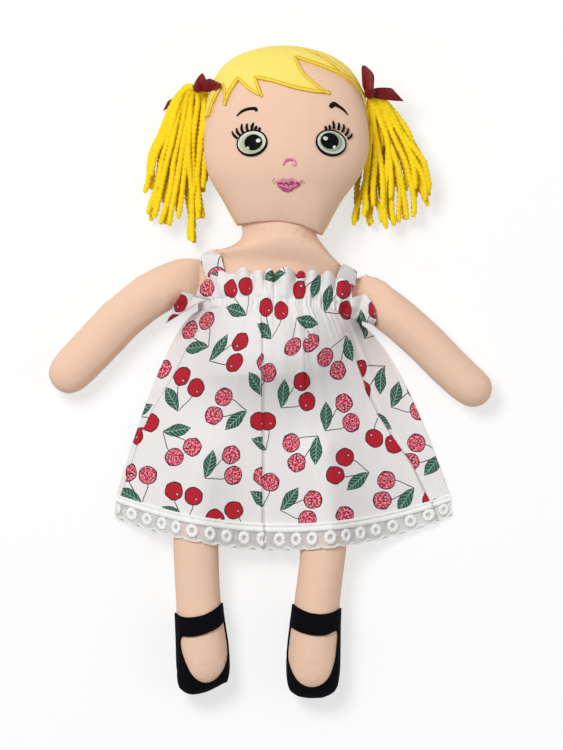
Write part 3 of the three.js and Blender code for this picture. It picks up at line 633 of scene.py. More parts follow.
# Threads and yarns: a round or flattened strand along each line of points. A twisted yarn has ply
# ridges that turn round it once in each pitch.
def strands(name, runs, sides=8, plies=0, ply_depth=0.0, pitch=1.0):
    points, faces, flat = [], [], []
    for line, radii, ups, flatness in runs:
        line = np.array(line, float)
        count = len(line)
        radii = np.broadcast_to(np.array(radii, float), (count,))
        way = np.gradient(line, axis=0)
        way /= np.maximum(np.linalg.norm(way, axis=1), 1e-12)[:, None]
        if ups is None:
            ups = np.tile((0.0, 0.0, 1.0), (count, 1))
        side = np.cross(way, np.array(ups, float))
        side /= np.maximum(np.linalg.norm(side, axis=1), 1e-12)[:, None]
        over = np.cross(side, way)
        length = length_along(line)
        first = len(points)
        for k in range(count):
            for s in range(sides):
                angle = 2 * math.pi * s / sides
                radius = radii[k]
                if plies:
                    twist = 2 * math.pi * plies * length[k] / pitch
                    radius *= 1 + ply_depth * math.cos(plies * angle - twist)
                rim_spot = math.cos(angle) * side[k] + flatness * math.sin(angle) * over[k]
                points.append(line[k] + radius * rim_spot)
                flat.append((length[k], s / sides * 0.01))
        for k in range(count - 1):
            for s in range(sides):
                a, b = first + k * sides + s, first + k * sides + (s + 1) % sides
                faces.append((a, b, b + sides, a + sides))
        for ring, tip in ((0, line[0]), (count - 1, line[-1])):
            centre = len(points)
            points.append(tip)
            flat.append((length[ring], 0))
            for s in range(sides):
                a, b = first + ring * sides + s, first + ring * sides + (s + 1) % sides
                faces.append((centre, b, a) if ring == 0 else (centre, a, b))
    piece = mesh_piece(name, points, faces, flat)
    face_outward(piece)
    return piece


def head_thread(map_line, radii, flatness, lift=0.0004):
    spots = [on_head(p, lift) for p in map_line]
    return [tuple(s[0]) for s in spots], radii, [tuple(s[1]) for s in spots], flatness


# Satin stitch and other embroidery thread: shiny cotton laid side by side, so it shows fine cross
# lines. A wave texture of scale 1 repeats every 0.314 of its place.
thread_roughness = 0.45
wave_repeat = 0.314


def thread_material(name, color, stitch, shine=0.3):
    material, shader = new_material(name, color, thread_roughness)
    shader.inputs["Specular IOR Level"].default_value = shine
    place = add_node(material, "ShaderNodeTexCoord").outputs["UV"]
    lines = add_node(material, "ShaderNodeTexWave",
                     {"Scale": wave_repeat / stitch, "Distortion": 1.5, "Detail": 1.0}, {"Vector": place})
    add_bump(material, shader, lines.outputs["Fac"], 0.0001)
    return material


fringe_edge_px = [(210.6, 117), (214.4, 104.6), (219.4, 94.7), (224.5, 87), (225.6, 105.9), (232, 92.5),
                  (239.3, 81), (247, 89), (255, 94.5), (262.9, 97.7), (256.7, 79.8), (274, 83.5), (294, 89.7),
                  (313.9, 93.4), (328.8, 94.2), (321.5, 89.5), (313.9, 83.5), (303.9, 74.8), (299.5, 67.5),
                  (296, 60), (313.9, 66), (336.3, 74.8), (351.2, 83.5), (361.1, 94.7), (365.6, 104.6)]
fringe_edge = [on_head_map(px, py) for px, py in fringe_edge_px]
rim_tilt = math.radians(89)
rim_steps = 24
gold_band = 0.038
first_turn = math.atan2(fringe_edge[0][1], fringe_edge[0][0])
last_turn = math.atan2(fringe_edge[-1][1], fringe_edge[-1][0])
rim = []
for k in range(rim_steps + 1):
    turn = last_turn + (first_turn - last_turn) * k / rim_steps
    rim.append((rim_tilt * math.cos(turn), rim_tilt * math.sin(turn)))
fringe = head_patch("fringe_cloth", fringe_edge + rim, lift=0.0014, thickness=0.0012, spacing=0.03)
fringe.data.materials.append(hair_cotton)
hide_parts("hair_fringe")
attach(fringe, "head")

gold_thread = thread_material("golden embroidery cotton", "E2B21A", 0.0005)
satin_thread = thread_material("pale yellow embroidery cotton", "FFE045", 0.0004)
edge_line = dense(fringe_edge, 0.02)
inner_line = []
for k, (x, y) in enumerate(edge_line):
    x1, y1 = edge_line[max(k - 1, 0)]
    x2, y2 = edge_line[min(k + 1, len(edge_line) - 1)]
    size = math.hypot(x2 - x1, y2 - y1) or 1
    inner_line.append((x - (y2 - y1) / size * gold_band, y + (x2 - x1) / size * gold_band))
parting_px = [[(321, 57), (334, 66), (346, 76), (354, 85)], [(315, 55.5), (331, 67), (345, 80), (357, 93)],
              [(304, 52), (325, 62), (343, 77)]]
satin_line = [((a + c) / 2, (b + d) / 2) for (a, b), (c, d) in zip(edge_line, inner_line)]
gold_runs = [head_thread(edge_line, radii=0.00034, flatness=0.9, lift=0.0014),
             head_thread(inner_line, radii=0.00022, flatness=0.9, lift=0.0017)]
for line in parting_px:
    parting_line = dense([on_head_map(*p) for p in line], 0.02)
    gold_runs.append(head_thread(parting_line, radii=0.00028, flatness=0.8, lift=0.0015))
fringe_stitch = strands("fringe_stitching", gold_runs, sides=8)
fringe_stitch.data.materials.append(gold_thread)
satin_runs = [head_thread(satin_line, radii=0.00095, flatness=0.45, lift=0.0014)]
fringe_band = strands("fringe_satin_edge", satin_runs, sides=10)
fringe_band.data.materials.append(satin_thread)
for piece in (fringe_stitch, fringe_band):
    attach(piece, "head")


# The eyes: embroidered ovals of grey-green thread with a black pupil and two white lights, a black
# outline and seven lashes. Each is drawn from its place in the photograph.
black_thread = thread_material("black embroidery cotton", "060608", 0.0004, 0.12)
white_thread = thread_material("white embroidery cotton", "F2F4F2", 0.0004)


# Fine hairs or threads that run every way and catch the light.
def add_grain(material, shader, scale, detail, depth, roughness=0.5):
    place = add_node(material, "ShaderNodeTexCoord").outputs["Object"]
    grain = add_node(material, "ShaderNodeTexNoise",
                     {"Scale": scale, "Detail": detail, "Roughness": roughness}, {"Vector": place})
    add_bump(material, shader, grain.outputs["Fac"], depth)
    return grain.outputs["Fac"]


def mix_colors(material, shader, share, color, other_color):
    mix = add_node(material, "ShaderNodeMix",
                   {"data_type": "RGBA", 6: linear(color), 7: linear(other_color)}, {0: share})
    material.node_tree.links.new(mix.outputs[2], shader.inputs["Base Color"])


# The iris is filled with thread of one colour in two tones.
def iris_material(name, color, pale):
    material, shader = new_material(name, color, thread_roughness)
    threads = add_grain(material, shader, 1400.0, 4.0, 0.0002)
    mix_colors(material, shader, threads, color, pale)
    return material


iris_thread = iris_material("pale grey-green embroidery cotton", "B9C4AE", "E8ECDF")
iris_inner_thread = {"left": iris_material("pale olive embroidery cotton", "9FA77C", "C9CFA8"),
                     "right": iris_material("sage embroidery cotton", "7C8C76", "AEBCA6")}


def oval(middle, size, tilt, count=40):
    result = []
    for k in range(count):
        angle = 2 * math.pi * k / count
        x = size[0] / 2 * math.cos(angle)
        y = size[1] / 2 * math.sin(angle)
        result.append((middle[0] + x * math.cos(tilt) - y * math.sin(tilt),
                       middle[1] + x * math.sin(tilt) + y * math.cos(tilt)))
    return result


def map_line(pixels):
    return [on_head_map(px, py) for px, py in pixels]


def tapered(count, thick, thin_start, thin_end):
    result = []
    for k in range(count):
        thin, from_end = (thin_start, k) if k < count / 2 else (thin_end, count - 1 - k)
        result.append(thick * (thin + (1 - thin) * min(1, from_end / (count * 0.35))))
    return result


eyes = [
    ("left", (252.3, 143.3), (29.4, 24.2), math.radians(-16), (253.8, 142.9), (17.8, 15.6),
     (258.9, 141.1), (248.6, 148.5),
     [[(237.6, 138.8), (234.6, 136.2), (232.3, 131.8)], [(240.6, 135.7), (237.8, 133), (236.9, 128.6)],
      [(243.6, 133.5), (242, 129.5), (242.2, 124.6)], [(248.4, 131.8), (247, 128.5), (247.5, 124)],
      [(252, 130.9), (252.3, 127), (254, 123.4)], [(255.8, 130.5), (255.8, 129), (257.2, 126.6)],
      [(259.2, 131.2), (259.6, 129.6), (260.6, 128)]]),
    ("right", (330.6, 143.1), (29.4, 24.2), math.radians(18), (329, 141.4), (17.8, 15.6),
     (324.6, 138.9), (333.2, 147.4),
     [[(325.8, 130.6), (325.4, 128.6), (324.9, 126.4)], [(329.4, 129.7), (329.2, 127.6), (328.7, 125.4)],
      [(333.2, 129.5), (333.3, 125.6), (332.5, 121.6)], [(337.6, 130.7), (338.5, 127), (338.2, 123.1)],
      [(341.4, 132.8), (343.2, 129), (343, 124.6)], [(344.6, 135.8), (347, 132.6), (347.6, 128.4)],
      [(347, 139), (350, 137.2), (351.6, 133.8)]]),
]
inner_shift = {"left": (-1.6, 0.9), "right": (1.6, 0.9)}
inner_size = (22.6, 19.2)
light_sizes = [(4.6, 3.9), (2.7, 3.1)]
ring_points = 60
lash_points = 9
for side, middle, size, tilt, pupil, pupil_size, light_1, light_2, lashes in eyes:
    iris_edge = map_line(oval(middle, size, tilt))
    iris = head_patch("eye_" + side + "_iris", iris_edge, lift=0.0008, thickness=0.0006, spacing=0.02)
    iris.data.materials.append(iris_thread)
    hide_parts("eye_" + side)
    inner_middle = (pupil[0] + inner_shift[side][0], pupil[1] + inner_shift[side][1])
    inner_edge = map_line(oval(inner_middle, inner_size, tilt))
    inner = head_patch("eye_" + side + "_iris_inner", inner_edge,
                       lift=0.0010, thickness=0.0005, spacing=0.02)
    inner.data.materials.append(iris_inner_thread[side])
    pupil_edge = map_line(oval(pupil, pupil_size, tilt))
    black = head_patch("eye_" + side + "_pupil", pupil_edge, lift=0.0012, thickness=0.0005, spacing=0.02)
    black.data.materials.append(black_thread)
    lights = []
    for k, (light_middle, light_size) in enumerate(zip((light_1, light_2), light_sizes)):
        light_edge = map_line(oval(light_middle, light_size, tilt, 14))
        light = head_patch("eye_" + side + "_light_" + str(k + 1), light_edge,
                           lift=0.0016, thickness=0.0004, spacing=0.01)
        light.data.materials.append(white_thread)
        lights.append(light)
    ring = map_line(oval(middle, size, tilt, ring_points))
    ring = ring + ring[:2]
    lid = [0.00050 + 0.00040 * max(0, math.sin(2 * math.pi * k / ring_points)) for k in range(len(ring))]
    runs = [head_thread(ring, lid, flatness=0.75, lift=0.0008)]
    for lash in lashes:
        line = map_line(curve_through(lash, lash_points))
        runs.append(head_thread(line, tapered(lash_points, 0.00088, 1, 0.5), flatness=0.7, lift=0.0006))
    outline = strands("eye_" + side + "_outline", runs, sides=8)
    outline.data.materials.append(black_thread)
    for piece in [iris, inner, black, outline] + lights:
        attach(piece, "head")


# The brows: one curved line each of black satin stitch, thick and hooked at the inner end.
brow_left_px = [(236.9, 116.8), (241.7, 112.4), (247, 110), (253.2, 109.1), (255.8, 109.7), (256.9, 111.9)]
brow_right_px = [(347.4, 115.4), (343.8, 111), (338.6, 107.1), (334.1, 104.8), (331.6, 106), (329.8, 108.2)]
brow_radii = {"left": [0.0004, 0.0008, 0.00095, 0.00095, 0.0011, 0.0009],
              "right": [0.0004, 0.0008, 0.0010, 0.0015, 0.0017, 0.0011]}
brow_points = 24
for side, pixels in (("left", brow_left_px), ("right", brow_right_px)):
    radii = np.interp(np.linspace(0, 5, brow_points), range(6), brow_radii[side])
    brow_line = map_line(curve_through(pixels, brow_points))
    brow = strands("brow_" + side + "_stitching", [head_thread(brow_line, radii, flatness=0.5)])
    brow.data.materials.append(black_thread)
    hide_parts("brow_" + side)
    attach(brow, "head")


# The nose and the lips: pink embroidery. The nose is a double arc. The lips are filled with short
# upright stitches, with darker ones scattered over them, and end in loose dots at the corners.
rose_thread = thread_material("rose embroidery cotton", "D96F97", 0.0004)
pale_rose_thread = thread_material("pale rose embroidery cotton", "F09DBA", 0.0004)
dark_rose_thread = thread_material("dark rose embroidery cotton", "B4396A", 0.0004)
nose_under_px = [(283.3, 166), (285.6, 162.2), (289.3, 160.3), (292.6, 161.4)]
nose_over_px = [(284.6, 160.6), (288.8, 158.9), (293.4, 160), (295.6, 163.2), (295.2, 165.9), (292, 165)]


def nose_arc(name, pixels, count, radii, thread):
    arc = strands(name, [head_thread(map_line(curve_through(pixels, count)), radii, flatness=0.7)])
    arc.data.materials.append(thread)
    return arc


nose = nose_arc("nose_stitching", nose_under_px, 20, tapered(20, 0.00058, 0.6, 0.4), rose_thread)
nose_over = nose_arc("nose_highlight", nose_over_px, 24, tapered(24, 0.00062, 0.4, 0.6), pale_rose_thread)
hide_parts("nose")
lip_top_px = [(276.3, 182.7), (279.4, 180.7), (283, 178.5), (287, 179.8), (291.5, 178.4), (296, 180.6),
              (300, 183)]
lip_line_px = [(276.3, 183.6), (279.4, 184.6), (283, 184), (287, 185), (291.5, 184), (296, 184.8),
               (300, 183.8)]
lip_low_px = [(277, 184.6), (280.2, 188.5), (283.2, 191), (287, 191.8), (291.5, 190.6), (295.5, 187.8),
              (299.4, 184.4)]


def lip_stitches(over, under, count, seed):
    picker = random.Random(seed)
    top, low = curve_through(over, count), curve_through(under, count)
    runs = []
    for (x1, y1), (x2, y2) in zip(top, low):
        lean = picker.uniform(-0.5, 0.5)
        line = dense([(x1 + lean, y1 + picker.uniform(-0.4, 0.4)), (x2 - lean, y2)], 0.9)
        runs.append(head_thread(map_line(line), picker.uniform(0.0002, 0.00032), 0.9, 0.0005))
    return runs


upper_lip = strands("lips_upper", lip_stitches(lip_top_px, lip_line_px, 44, seed=3), sides=6)
upper_lip.data.materials.append(pale_rose_thread)
lower_lip = strands("lips_lower", lip_stitches(lip_line_px, lip_low_px, 44, seed=4), sides=6)
lower_lip.data.materials.append(pale_rose_thread)
lip_marks = []
lip_mark_count = 150
picker = random.Random(12)
for k in range(lip_mark_count):
    px = picker.uniform(277.5, 299)
    share = picker.uniform(0.2, 0.5) if k % 2 else picker.uniform(0.68, 0.98)
    top_y = np.interp(px, [x for x, _ in lip_top_px], [y for _, y in lip_top_px])
    low_y = np.interp(px, [x for x, _ in lip_low_px], [y for _, y in lip_low_px])
    py = top_y + (low_y - top_y) * share
    stitch_end = (px + picker.uniform(0.3, 1.2), py + picker.uniform(0.3, 1.1))
    mark_radius = picker.uniform(0.00018, 0.0003)
    lip_marks.append(head_thread(map_line([(px, py), stitch_end]), mark_radius, flatness=0.9, lift=0.0007))
corner_dots_px = [(272.4, 181), (274, 179.2), (273.6, 183.2), (275.6, 181.6), (302.2, 180.6), (301, 182.2),
                  (303.4, 183), (300, 181)]
for x, y in corner_dots_px:
    lip_marks.append(head_thread(map_line([(x, y), (x + 0.8, y + 0.3)]), 0.0003, 0.9))
marks = strands("lips_marks", lip_marks, sides=6)
marks.data.materials.append(dark_rose_thread)
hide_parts("lips")
for piece in (nose, nose_over, upper_lip, lower_lip, marks):
    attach(piece, "head")


# The two bunches of hair: thick yellow wool yarn, twisted from three plies, tied at the top and cut to
# uneven ends. Each strand runs from the tie to its own end, between the two edges of its bunch.
yarn_wool, wool_shader = new_material("yellow wool yarn", "FFDC20", 0.95)
wool_shader.inputs["Sheen Weight"].default_value = 0.25
wool_shader.inputs["Sheen Tint"].default_value = linear("FFDC30")
wool_shader.inputs["Specular IOR Level"].default_value = 0.1
wool_fuzz = add_grain(yarn_wool, wool_shader, 900.0, 5.0, 0.0004, 0.7)
mix_colors(yarn_wool, wool_shader, wool_fuzz, "FFCE0C", "FFEE34")
bunches = [
    ("left", [(194, 88), (180, 92.5), (172, 106), (162, 131), (154, 150), (150, 172), (143, 190)],
     [(199, 88), (207, 97), (211, 115), (209.5, 138), (206, 162), (207, 190)],
     [141, 149.6, 154, 172, 193, 195.5, 200.6, 207], [194, 219, 223, 225, 243, 221, 217, 195]),
    ("right", [(370, 97), (366.5, 120), (364, 143), (360.6, 166), (356, 192), (353, 215)],
     [(377, 95), (395, 112), (411, 134), (419.5, 153), (425.7, 172), (430, 194)],
     [353.5, 364, 377, 391, 403, 415.5, 425, 430.5], [224, 229, 221, 232, 219, 221, 212, 205]),
]
edge_points = 60
yarn_radius = 0.00168
yarn_layers = [(0.0218, 11), (0.0170, 10), (0.0115, 9), (0.0060, 8)]
bunch_middle_height = 0.0145
tie_height = 0.0262
tied_share = 0.14
strand_points = 150
strand_wander = (0.02, 0.13)
wander_waves = (2.5, 8)
sway_px = (0.3, 1.3)
sway_waves = (9, 18)
tip_drift_px = 4
tie_drift_px = 4
strand_rise = (0.0004, 0.0018)
cut_back_shares = [0, 0, 0.03, 0.08, 0.14, 0.22]
for side, edge_1, edge_2, tips_x, tips_y in bunches:
    picker = random.Random("bunch " + side)
    edge_1, edge_2 = (np.array(curve_through(edge, edge_points)) for edge in (edge_1, edge_2))
    run = np.linspace(0, 1, edge_points)
    runs = []
    for height, number in yarn_layers:
        for k in range(number):
            share = min(1, max(0, (k + 0.5 + picker.uniform(-0.4, 0.4)) / number))
            wander = picker.uniform(*strand_wander)
            wander = wander * np.sin(picker.uniform(0, 6.28) + run * picker.uniform(*wander_waves))
            shares = np.clip(share + wander * np.minimum(1, run * 3), 0, 1)[:, None]
            line = edge_1 * (1 - shares) + edge_2 * shares
            place = share * (len(tips_x) - 1)
            tip = np.array([np.interp(place, range(8), tips_x), np.interp(place, range(8), tips_y)])
            tie = line[0].copy()
            reach = (tip[1] - tie[1]) / (line[-1, 1] - tie[1])
            line[:, 1] = tie[1] + (line[:, 1] - tie[1]) * (1 + run * (reach - 1))
            line[:, 0] += (tip[0] - line[-1, 0]) * run ** 1.5
            drift = picker.uniform(-tip_drift_px, tip_drift_px)
            line[:, 0] += drift * np.maximum(0, (run - 0.7) / 0.3) ** 1.6
            sway = picker.uniform(*sway_px)
            line[:, 0] += sway * np.sin(picker.uniform(0, 6.28) + run * picker.uniform(*sway_waves)) * run
            line[:, 1] -= picker.uniform(0, tie_drift_px) * np.exp(-((run - 0.07) / 0.05) ** 2)
            spread = 0.35 + 0.65 * np.minimum(1, run / 0.12)
            above = height - bunch_middle_height
            z = bunch_middle_height + above * spread * (1 + 0.12 * np.sin(math.pi * run))
            rise = picker.uniform(*strand_rise)
            z += rise * np.sin(picker.uniform(0, 6.28) + run * 9) * np.minimum(1, run * 6)
            z -= (0.0035 * run ** 2) if above > 0 else 0
            lifted = np.exp(-(run / tied_share) ** 2)
            z = z * (1 - lifted) + (tie_height + above * 0.35) * lifted
            z = np.maximum(z, yarn_radius + 0.0003)
            path = np.array([tuple(photo_point(px, py, h)) for (px, py), h in zip(line, z)])
            length = length_along(path)
            cut_at = length[-1] * (1 - picker.choice(cut_back_shares))
            spots = np.linspace(0, cut_at, strand_points)
            path = np.column_stack([np.interp(spots, length, path[:, axis]) for axis in range(3)])
            radii = yarn_radius * (0.8 + 0.2 * np.minimum(1, spots / 0.008))
            radii = radii * (1 + 0.05 * np.sin(spots * 900 + k) + 0.04 * np.sin(spots * 2300 + 2 * k))
            radii = radii * (1 - 0.35 * np.maximum(0, 1 - (cut_at - spots) / 0.003))
            runs.append((path, radii, None, 1.0))
    bunch = strands("bunch_" + side + "_yarn", runs, sides=12, plies=3, ply_depth=0.14, pitch=0.0085)
    bunch.data.materials.append(yarn_wool)
    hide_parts("yarn_bunch_" + side)
    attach(bunch, "bunch_" + side)


# The bows: narrow dark-red satin ribbon tied round each bunch, with an upright loop, a side loop, a
# knot and a square-cut tail.
bow_satin, satin_shader = new_material("dark red satin ribbon", "780810", 0.36)
satin_shader.inputs["Specular IOR Level"].default_value = 0.3
satin_place = add_node(bow_satin, "ShaderNodeTexCoord").outputs["UV"]
satin_lines = add_node(bow_satin, "ShaderNodeTexWave", {"Scale": 900.0, "Distortion": 2.0},
                       {"Vector": satin_place})
add_bump(bow_satin, satin_shader, satin_lines.outputs["Fac"], 0.00008)
ribbon_columns = 7
ribbon_crown = 0.0003
ribbon_clear = 0.0050
head_side_height = 0.025


# The values of a short list at evenly spread places along it.
def spread_out(values, count):
    return np.interp(np.linspace(0, len(values) - 1, count), range(len(values)), values)


def ribbon(points, faces, flat, middle_line, width, cross, count=28):
    line = curve_through([p[:2] for p in middle_line], count)
    height = spread_out([p[2] for p in middle_line], count)
    line = np.array([tuple(photo_point(px, py, z)) for (px, py), z in zip(line, height)])
    cross = np.array([spread_out([c[i] for c in cross], count) for i in range(3)]).T
    cross /= np.linalg.norm(cross, axis=1)[:, None]
    width = spread_out(width, count)
    first = len(points)
    for k in range(count):
        for j in range(ribbon_columns):
            share = j / (ribbon_columns - 1) - 0.5
            crown = ribbon_crown * math.cos(share * math.pi)
            spot = Vector(line[k] + cross[k] * (share * width[k]) + np.array([0, 0, crown]))
            below = seen_height(head_shell, spot.x, spot.y)
            if below is not None and spot.z > head_side_height:
                spot.z = max(spot.z, below + ribbon_clear + 0.1 * (spot.z - 0.030))
            points.append(spot)
            flat.append((k * 0.001, j * 0.001))
    for k in range(count - 1):
        for j in range(ribbon_columns - 1):
            a = first + k * ribbon_columns + j
            faces.append((a, a + 1, a + ribbon_columns + 1, a + ribbon_columns))


bows = [
    ("left",
     [([(200, 88, 0.0300), (199.5, 82, 0.0340), (201.6, 74.5, 0.0352), (202.6, 75, 0.0375),
        (202, 82, 0.0395), (201, 88, 0.0370)],
       [0.004, 0.0064, 0.0012, 0.0012, 0.0064, 0.004], [(1, 0.15, 0.2), (1, 0.15, 0.3)]),
      ([(199, 87, 0.0300), (209, 85.5, 0.0335), (219, 85.6, 0.0345), (219.5, 86, 0.0365),
        (209, 85.5, 0.0400), (199, 87, 0.0375)],
       [0.0045, 0.0088, 0.0026, 0.0026, 0.0088, 0.0045], [(0.1, 1, 0.1), (0.1, 1, 0.15)]),
      ([(199, 88, 0.0290), (193, 90, 0.0180), (186, 94, 0.0060), (176, 99, 0.0022), (165, 105.5, 0.0022)],
       [0.004, 0.006, 0.0064, 0.0066, 0.0066], [(0.35, 1, 0.2), (0.5, 1, 0.02)])],
     (198.5, 87.5, 0.0350), (0.0036, 0.0036, 0.0045)),
    ("right",
     [([(369.5, 94, 0.0300), (367.5, 84, 0.0340), (363.8, 68, 0.0352), (364.4, 67, 0.0370),
        (369, 76, 0.0400), (370, 93, 0.0375)],
       [0.005, 0.0068, 0.0026, 0.0022, 0.0066, 0.0045], [(1, 0.1, 0.2), (1, 0.1, 0.3)]),
      ([(370, 93, 0.0310), (378, 93.2, 0.0325), (388, 94, 0.0318), (398, 94.9, 0.0300)],
       [0.0045, 0.0068, 0.0080, 0.0104], [(0.1, 1, 0.1), (0.0, 1, 0.1), (-0.68, 0.74, 0.0)])],
     (370, 93.5, 0.0350), (0.0034, 0.0038, 0.0045)),
]
for side, loops, knot_place, knot_size in bows:
    points, faces, flat = [], [], []
    for middle_line, width, cross in loops:
        ribbon(points, faces, flat, middle_line, width, cross)
    bow = mesh_piece("bow_" + side + "_ribbon", points, faces, flat)
    apply_modifier(bow, "SOLIDIFY", thickness=0.0004, offset=0)
    bow.data.materials.append(bow_satin)
    bpy.ops.object.select_all(action="DESELECT")
    bpy.ops.mesh.primitive_uv_sphere_add(segments=24, ring_count=16, radius=1, location=(0, 0, 0))
    knot = bpy.context.object
    knot.name = "bow_" + side + "_knot"
    shape = points_of(knot)
    fold = 1 + 0.08 * np.sin(shape[:, 1] * 9)
    shape = shape * np.array(knot_size) * fold[:, None] + np.array(photo_point(*knot_place))
    set_points(knot, shape)
    bpy.ops.object.shade_smooth()
    knot.data.materials.append(bow_satin)
    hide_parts("bow_" + side)
    for piece in (bow, knot):
        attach(piece, "head")


# The shoes: near-black felt, cut low over the foot, with a strap over the instep.
shoe_felt, felt_shader = new_material("near-black felt", "07080F", 0.95)
felt_shader.inputs["Specular IOR Level"].default_value = 0.1
add_grain(shoe_felt, felt_shader, 1200.0, 4.0, 0.0003)


# Cuts a mesh along the line where a value changes its sign, and drops the side below nought.
def trim_by(piece, values):
    work = bmesh.new()
    work.from_mesh(piece.data)
    work.verts.ensure_lookup_table()
    value_of = {vert: float(value) for vert, value in zip(work.verts, values)}
    new_verts = []
    for edge in list(work.edges):
        a, b = edge.verts
        if value_of[a] * value_of[b] < 0:
            share = value_of[a] / (value_of[a] - value_of[b])
            made = bmesh.utils.edge_split(edge, a, share)[1]
            value_of[made] = 0.0
            new_verts.append(made)
    bmesh.ops.connect_verts(work, verts=new_verts)
    below = [face for face in work.faces if sum(value_of[vert] for vert in face.verts) < 0]
    bmesh.ops.delete(work, geom=below, context="FACES")
    work.to_mesh(piece.data)
    work.free()


def distance_to(outline, points):
    best = np.full(len(points), 1e9)
    for start, end in zip(outline, np.roll(outline, -1, axis=0)):
        way = end - start
        share = np.clip(((points - start) @ way) / (way @ way), 0, 1)
        best = np.minimum(best, np.linalg.norm(points - start - share[:, None] * way, axis=1))
    return best


shoe_middle_height = 0.0150
shoe_shapes = [
    ("left", leg_left_skin,
     [(172, 609), (174.7, 611.3), (180.7, 616), (190, 617.3), (203.3, 614.9), (214, 609.3), (220, 604),
      (224, 598)],
     [(182.4, 636.3), (180.9, 642), (182, 650.7), (186, 662.7), (191.3, 673.3), (198, 680), (206, 682.7),
      (214, 680), (220.7, 673.3), (225.3, 664), (227.3, 654.7), (227.7, 641.3), (227, 628), (224.9, 619.7),
      (216.7, 628), (204.7, 634), (192.7, 636.7)]),
    ("right", leg_right_skin,
     [(290, 601), (292.7, 602.9), (299.3, 608), (310, 612.7), (322, 614), (332.7, 612), (339.3, 608.3),
      (342, 607)],
     [(291.3, 626.7), (288, 637.3), (287.3, 650.7), (289.3, 662.7), (294.7, 676), (302, 684), (312, 687),
      (322, 684), (329.3, 676), (334, 662.7), (336, 649.3), (336.4, 631.5), (324.7, 635.3), (312.7, 635.3),
      (300.7, 632)]),
]
for side, leg_skin, top_px, opening_px in shoe_shapes:
    shoe = new_object("shoe_" + side + "_felt", leg_skin.data.copy())
    shoe.data.materials.clear()
    apply_modifier(shoe, "SUBSURF", levels=1, render_levels=1)
    spots = points_of(shoe)
    top_line = flat_line(curve_through(top_px, 60))
    opening = flat_line(curve_through(opening_px + opening_px[:1], 160)[:-1])
    below_top = np.interp(spots[:, 0], top_line[:, 0], top_line[:, 1]) - spots[:, 1]
    round_opening = distance_to(opening, spots[:, :2]) * np.where(inside(opening, spots[:, :2]), -1, 1)
    front = spots[:, 2] > shoe_middle_height
    trim_by(shoe, np.where(front, np.minimum(below_top, round_opening), below_top) + 1e-7)
    push_out(shoe, table_gap)
    apply_modifier(shoe, "SOLIDIFY", thickness=0.0011, offset=1)
    shoe_points = points_of(shoe)
    shoe_points[:, 2] = np.maximum(shoe_points[:, 2], table_gap)
    set_points(shoe, shoe_points)
    bpy.ops.object.shade_smooth_by_angle(angle=math.radians(50))
    shoe.data.materials.append(shoe_felt)
    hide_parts("shoe_" + side)
    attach(shoe, "leg_" + side)


# The dress: white cotton with a cherry print. The front is one piece of cloth: an upright frill, a
# line of elastic that draws it in across the chest, and a flared skirt that falls in a few deep folds.
chest_middle = -0.00125
chest_half = 0.0503
chest_line_height = 0.0295
chest_line_slope = -0.0017
chest_drop_left = 0.0052
chest_drop_right = 0.0123
band_half = 0.0022
frill_length = 0.0165
frill_turn = math.radians(112)
frill_ends = [
    (-1, [0.55, 0.62, 0.70, 0.77, 0.82, 0.86, 0.89, 0.92, 0.95, 0.975, 1.0],
     [(227, 271.5), (219, 271.5), (210, 274.5), (204, 280), (200, 288), (197.5, 296), (189.5, 292.5),
      (181.9, 290.5), (175, 302), (169.5, 313), (167.5, 323)]),
    (1, [0.55, 0.62, 0.70, 0.78, 0.84, 0.88, 0.92, 0.95, 0.975, 1.0],
     [(327, 273.5), (334, 275.5), (341, 278.5), (347, 282), (351.5, 286.5), (353.5, 298.5), (359, 295.5),
      (365.3, 292.6), (373.5, 303.8), (376.5, 326)]),
]
hem_middle = 0.00075
hem_half = 0.1025
hem_height = -0.1075
hem_lift = 0.018
flare = 0.65
skirt_cloth_length = 0.135
lace_length = 0.0155
cloth_gap = 0.0013
cloth_thickness = 0.0004

# Each fold: which side lies on top, where it runs (how far down the skirt, and where across it), how
# much cloth it hides, how high it stands, and where down the skirt it starts and ends.
folds = [
    ("right", [0, 0.2, 0.37, 0.52, 0.64, 1.15], [-0.80, -0.83, -0.88, -0.938, -0.963, -0.985],
     0.0022, 0.0016, 0.10, 2.0),
    ("left", [0, 0.10, 0.30, 0.60, 1.15], [-0.206, -0.192, -0.160, -0.137, -0.118],
     0.0036, 0.0026, 0.02, 2.0),
    ("right", [0, 0.10, 0.40, 1.15], [0.262, 0.240, 0.176, 0.14], 0.0020, 0.0020, 0.01, 0.46),
    ("left", [0, 0.27, 0.39, 0.53, 0.66, 0.78, 1.15], [0.665, 0.645, 0.660, 0.705, 0.775, 0.835, 0.915],
     0.0040, 0.0024, 0.08, 2.0),
]
fold_rises_over = 0.10
fold_fades_over = 0.18
fold_hides_over = 0.25
columns_between = [18, 62, 36, 44, 30]
columns_in_fold = 12
fold_squeeze = 0.010
fold_spread = 0.010
frill_rows = 20
band_rows = 6
skirt_rows = 124
lace_rows = 18


def chest_line(u):
    drop = np.where(u < 0, chest_drop_left, chest_drop_right)
    return chest_line_height + chest_line_slope * u - drop * np.abs(u) ** 5


def skirt_plan(u, v):
    top_x, hem_x = chest_middle + chest_half * u, hem_middle + hem_half * u
    top_y, hem_y = chest_line(u) - band_half, hem_height + hem_lift * u ** 2
    down = np.minimum(v, 1)
    x = top_x + (hem_x - top_x) * down ** flare
    y = top_y + (hem_y - top_y) * down
    below = np.maximum(v - 1, 0) * (top_y - hem_y)
    return x + 0.12 * u * below, y - below


# How far a fold stands up at each place down the skirt.
def fold_shown(fold, v):
    fades = smooth_step((v - fold[6] + fold_fades_over) / fold_fades_over)
    return smooth_step((v - fold[5]) / fold_rises_over) * (1 - fades)


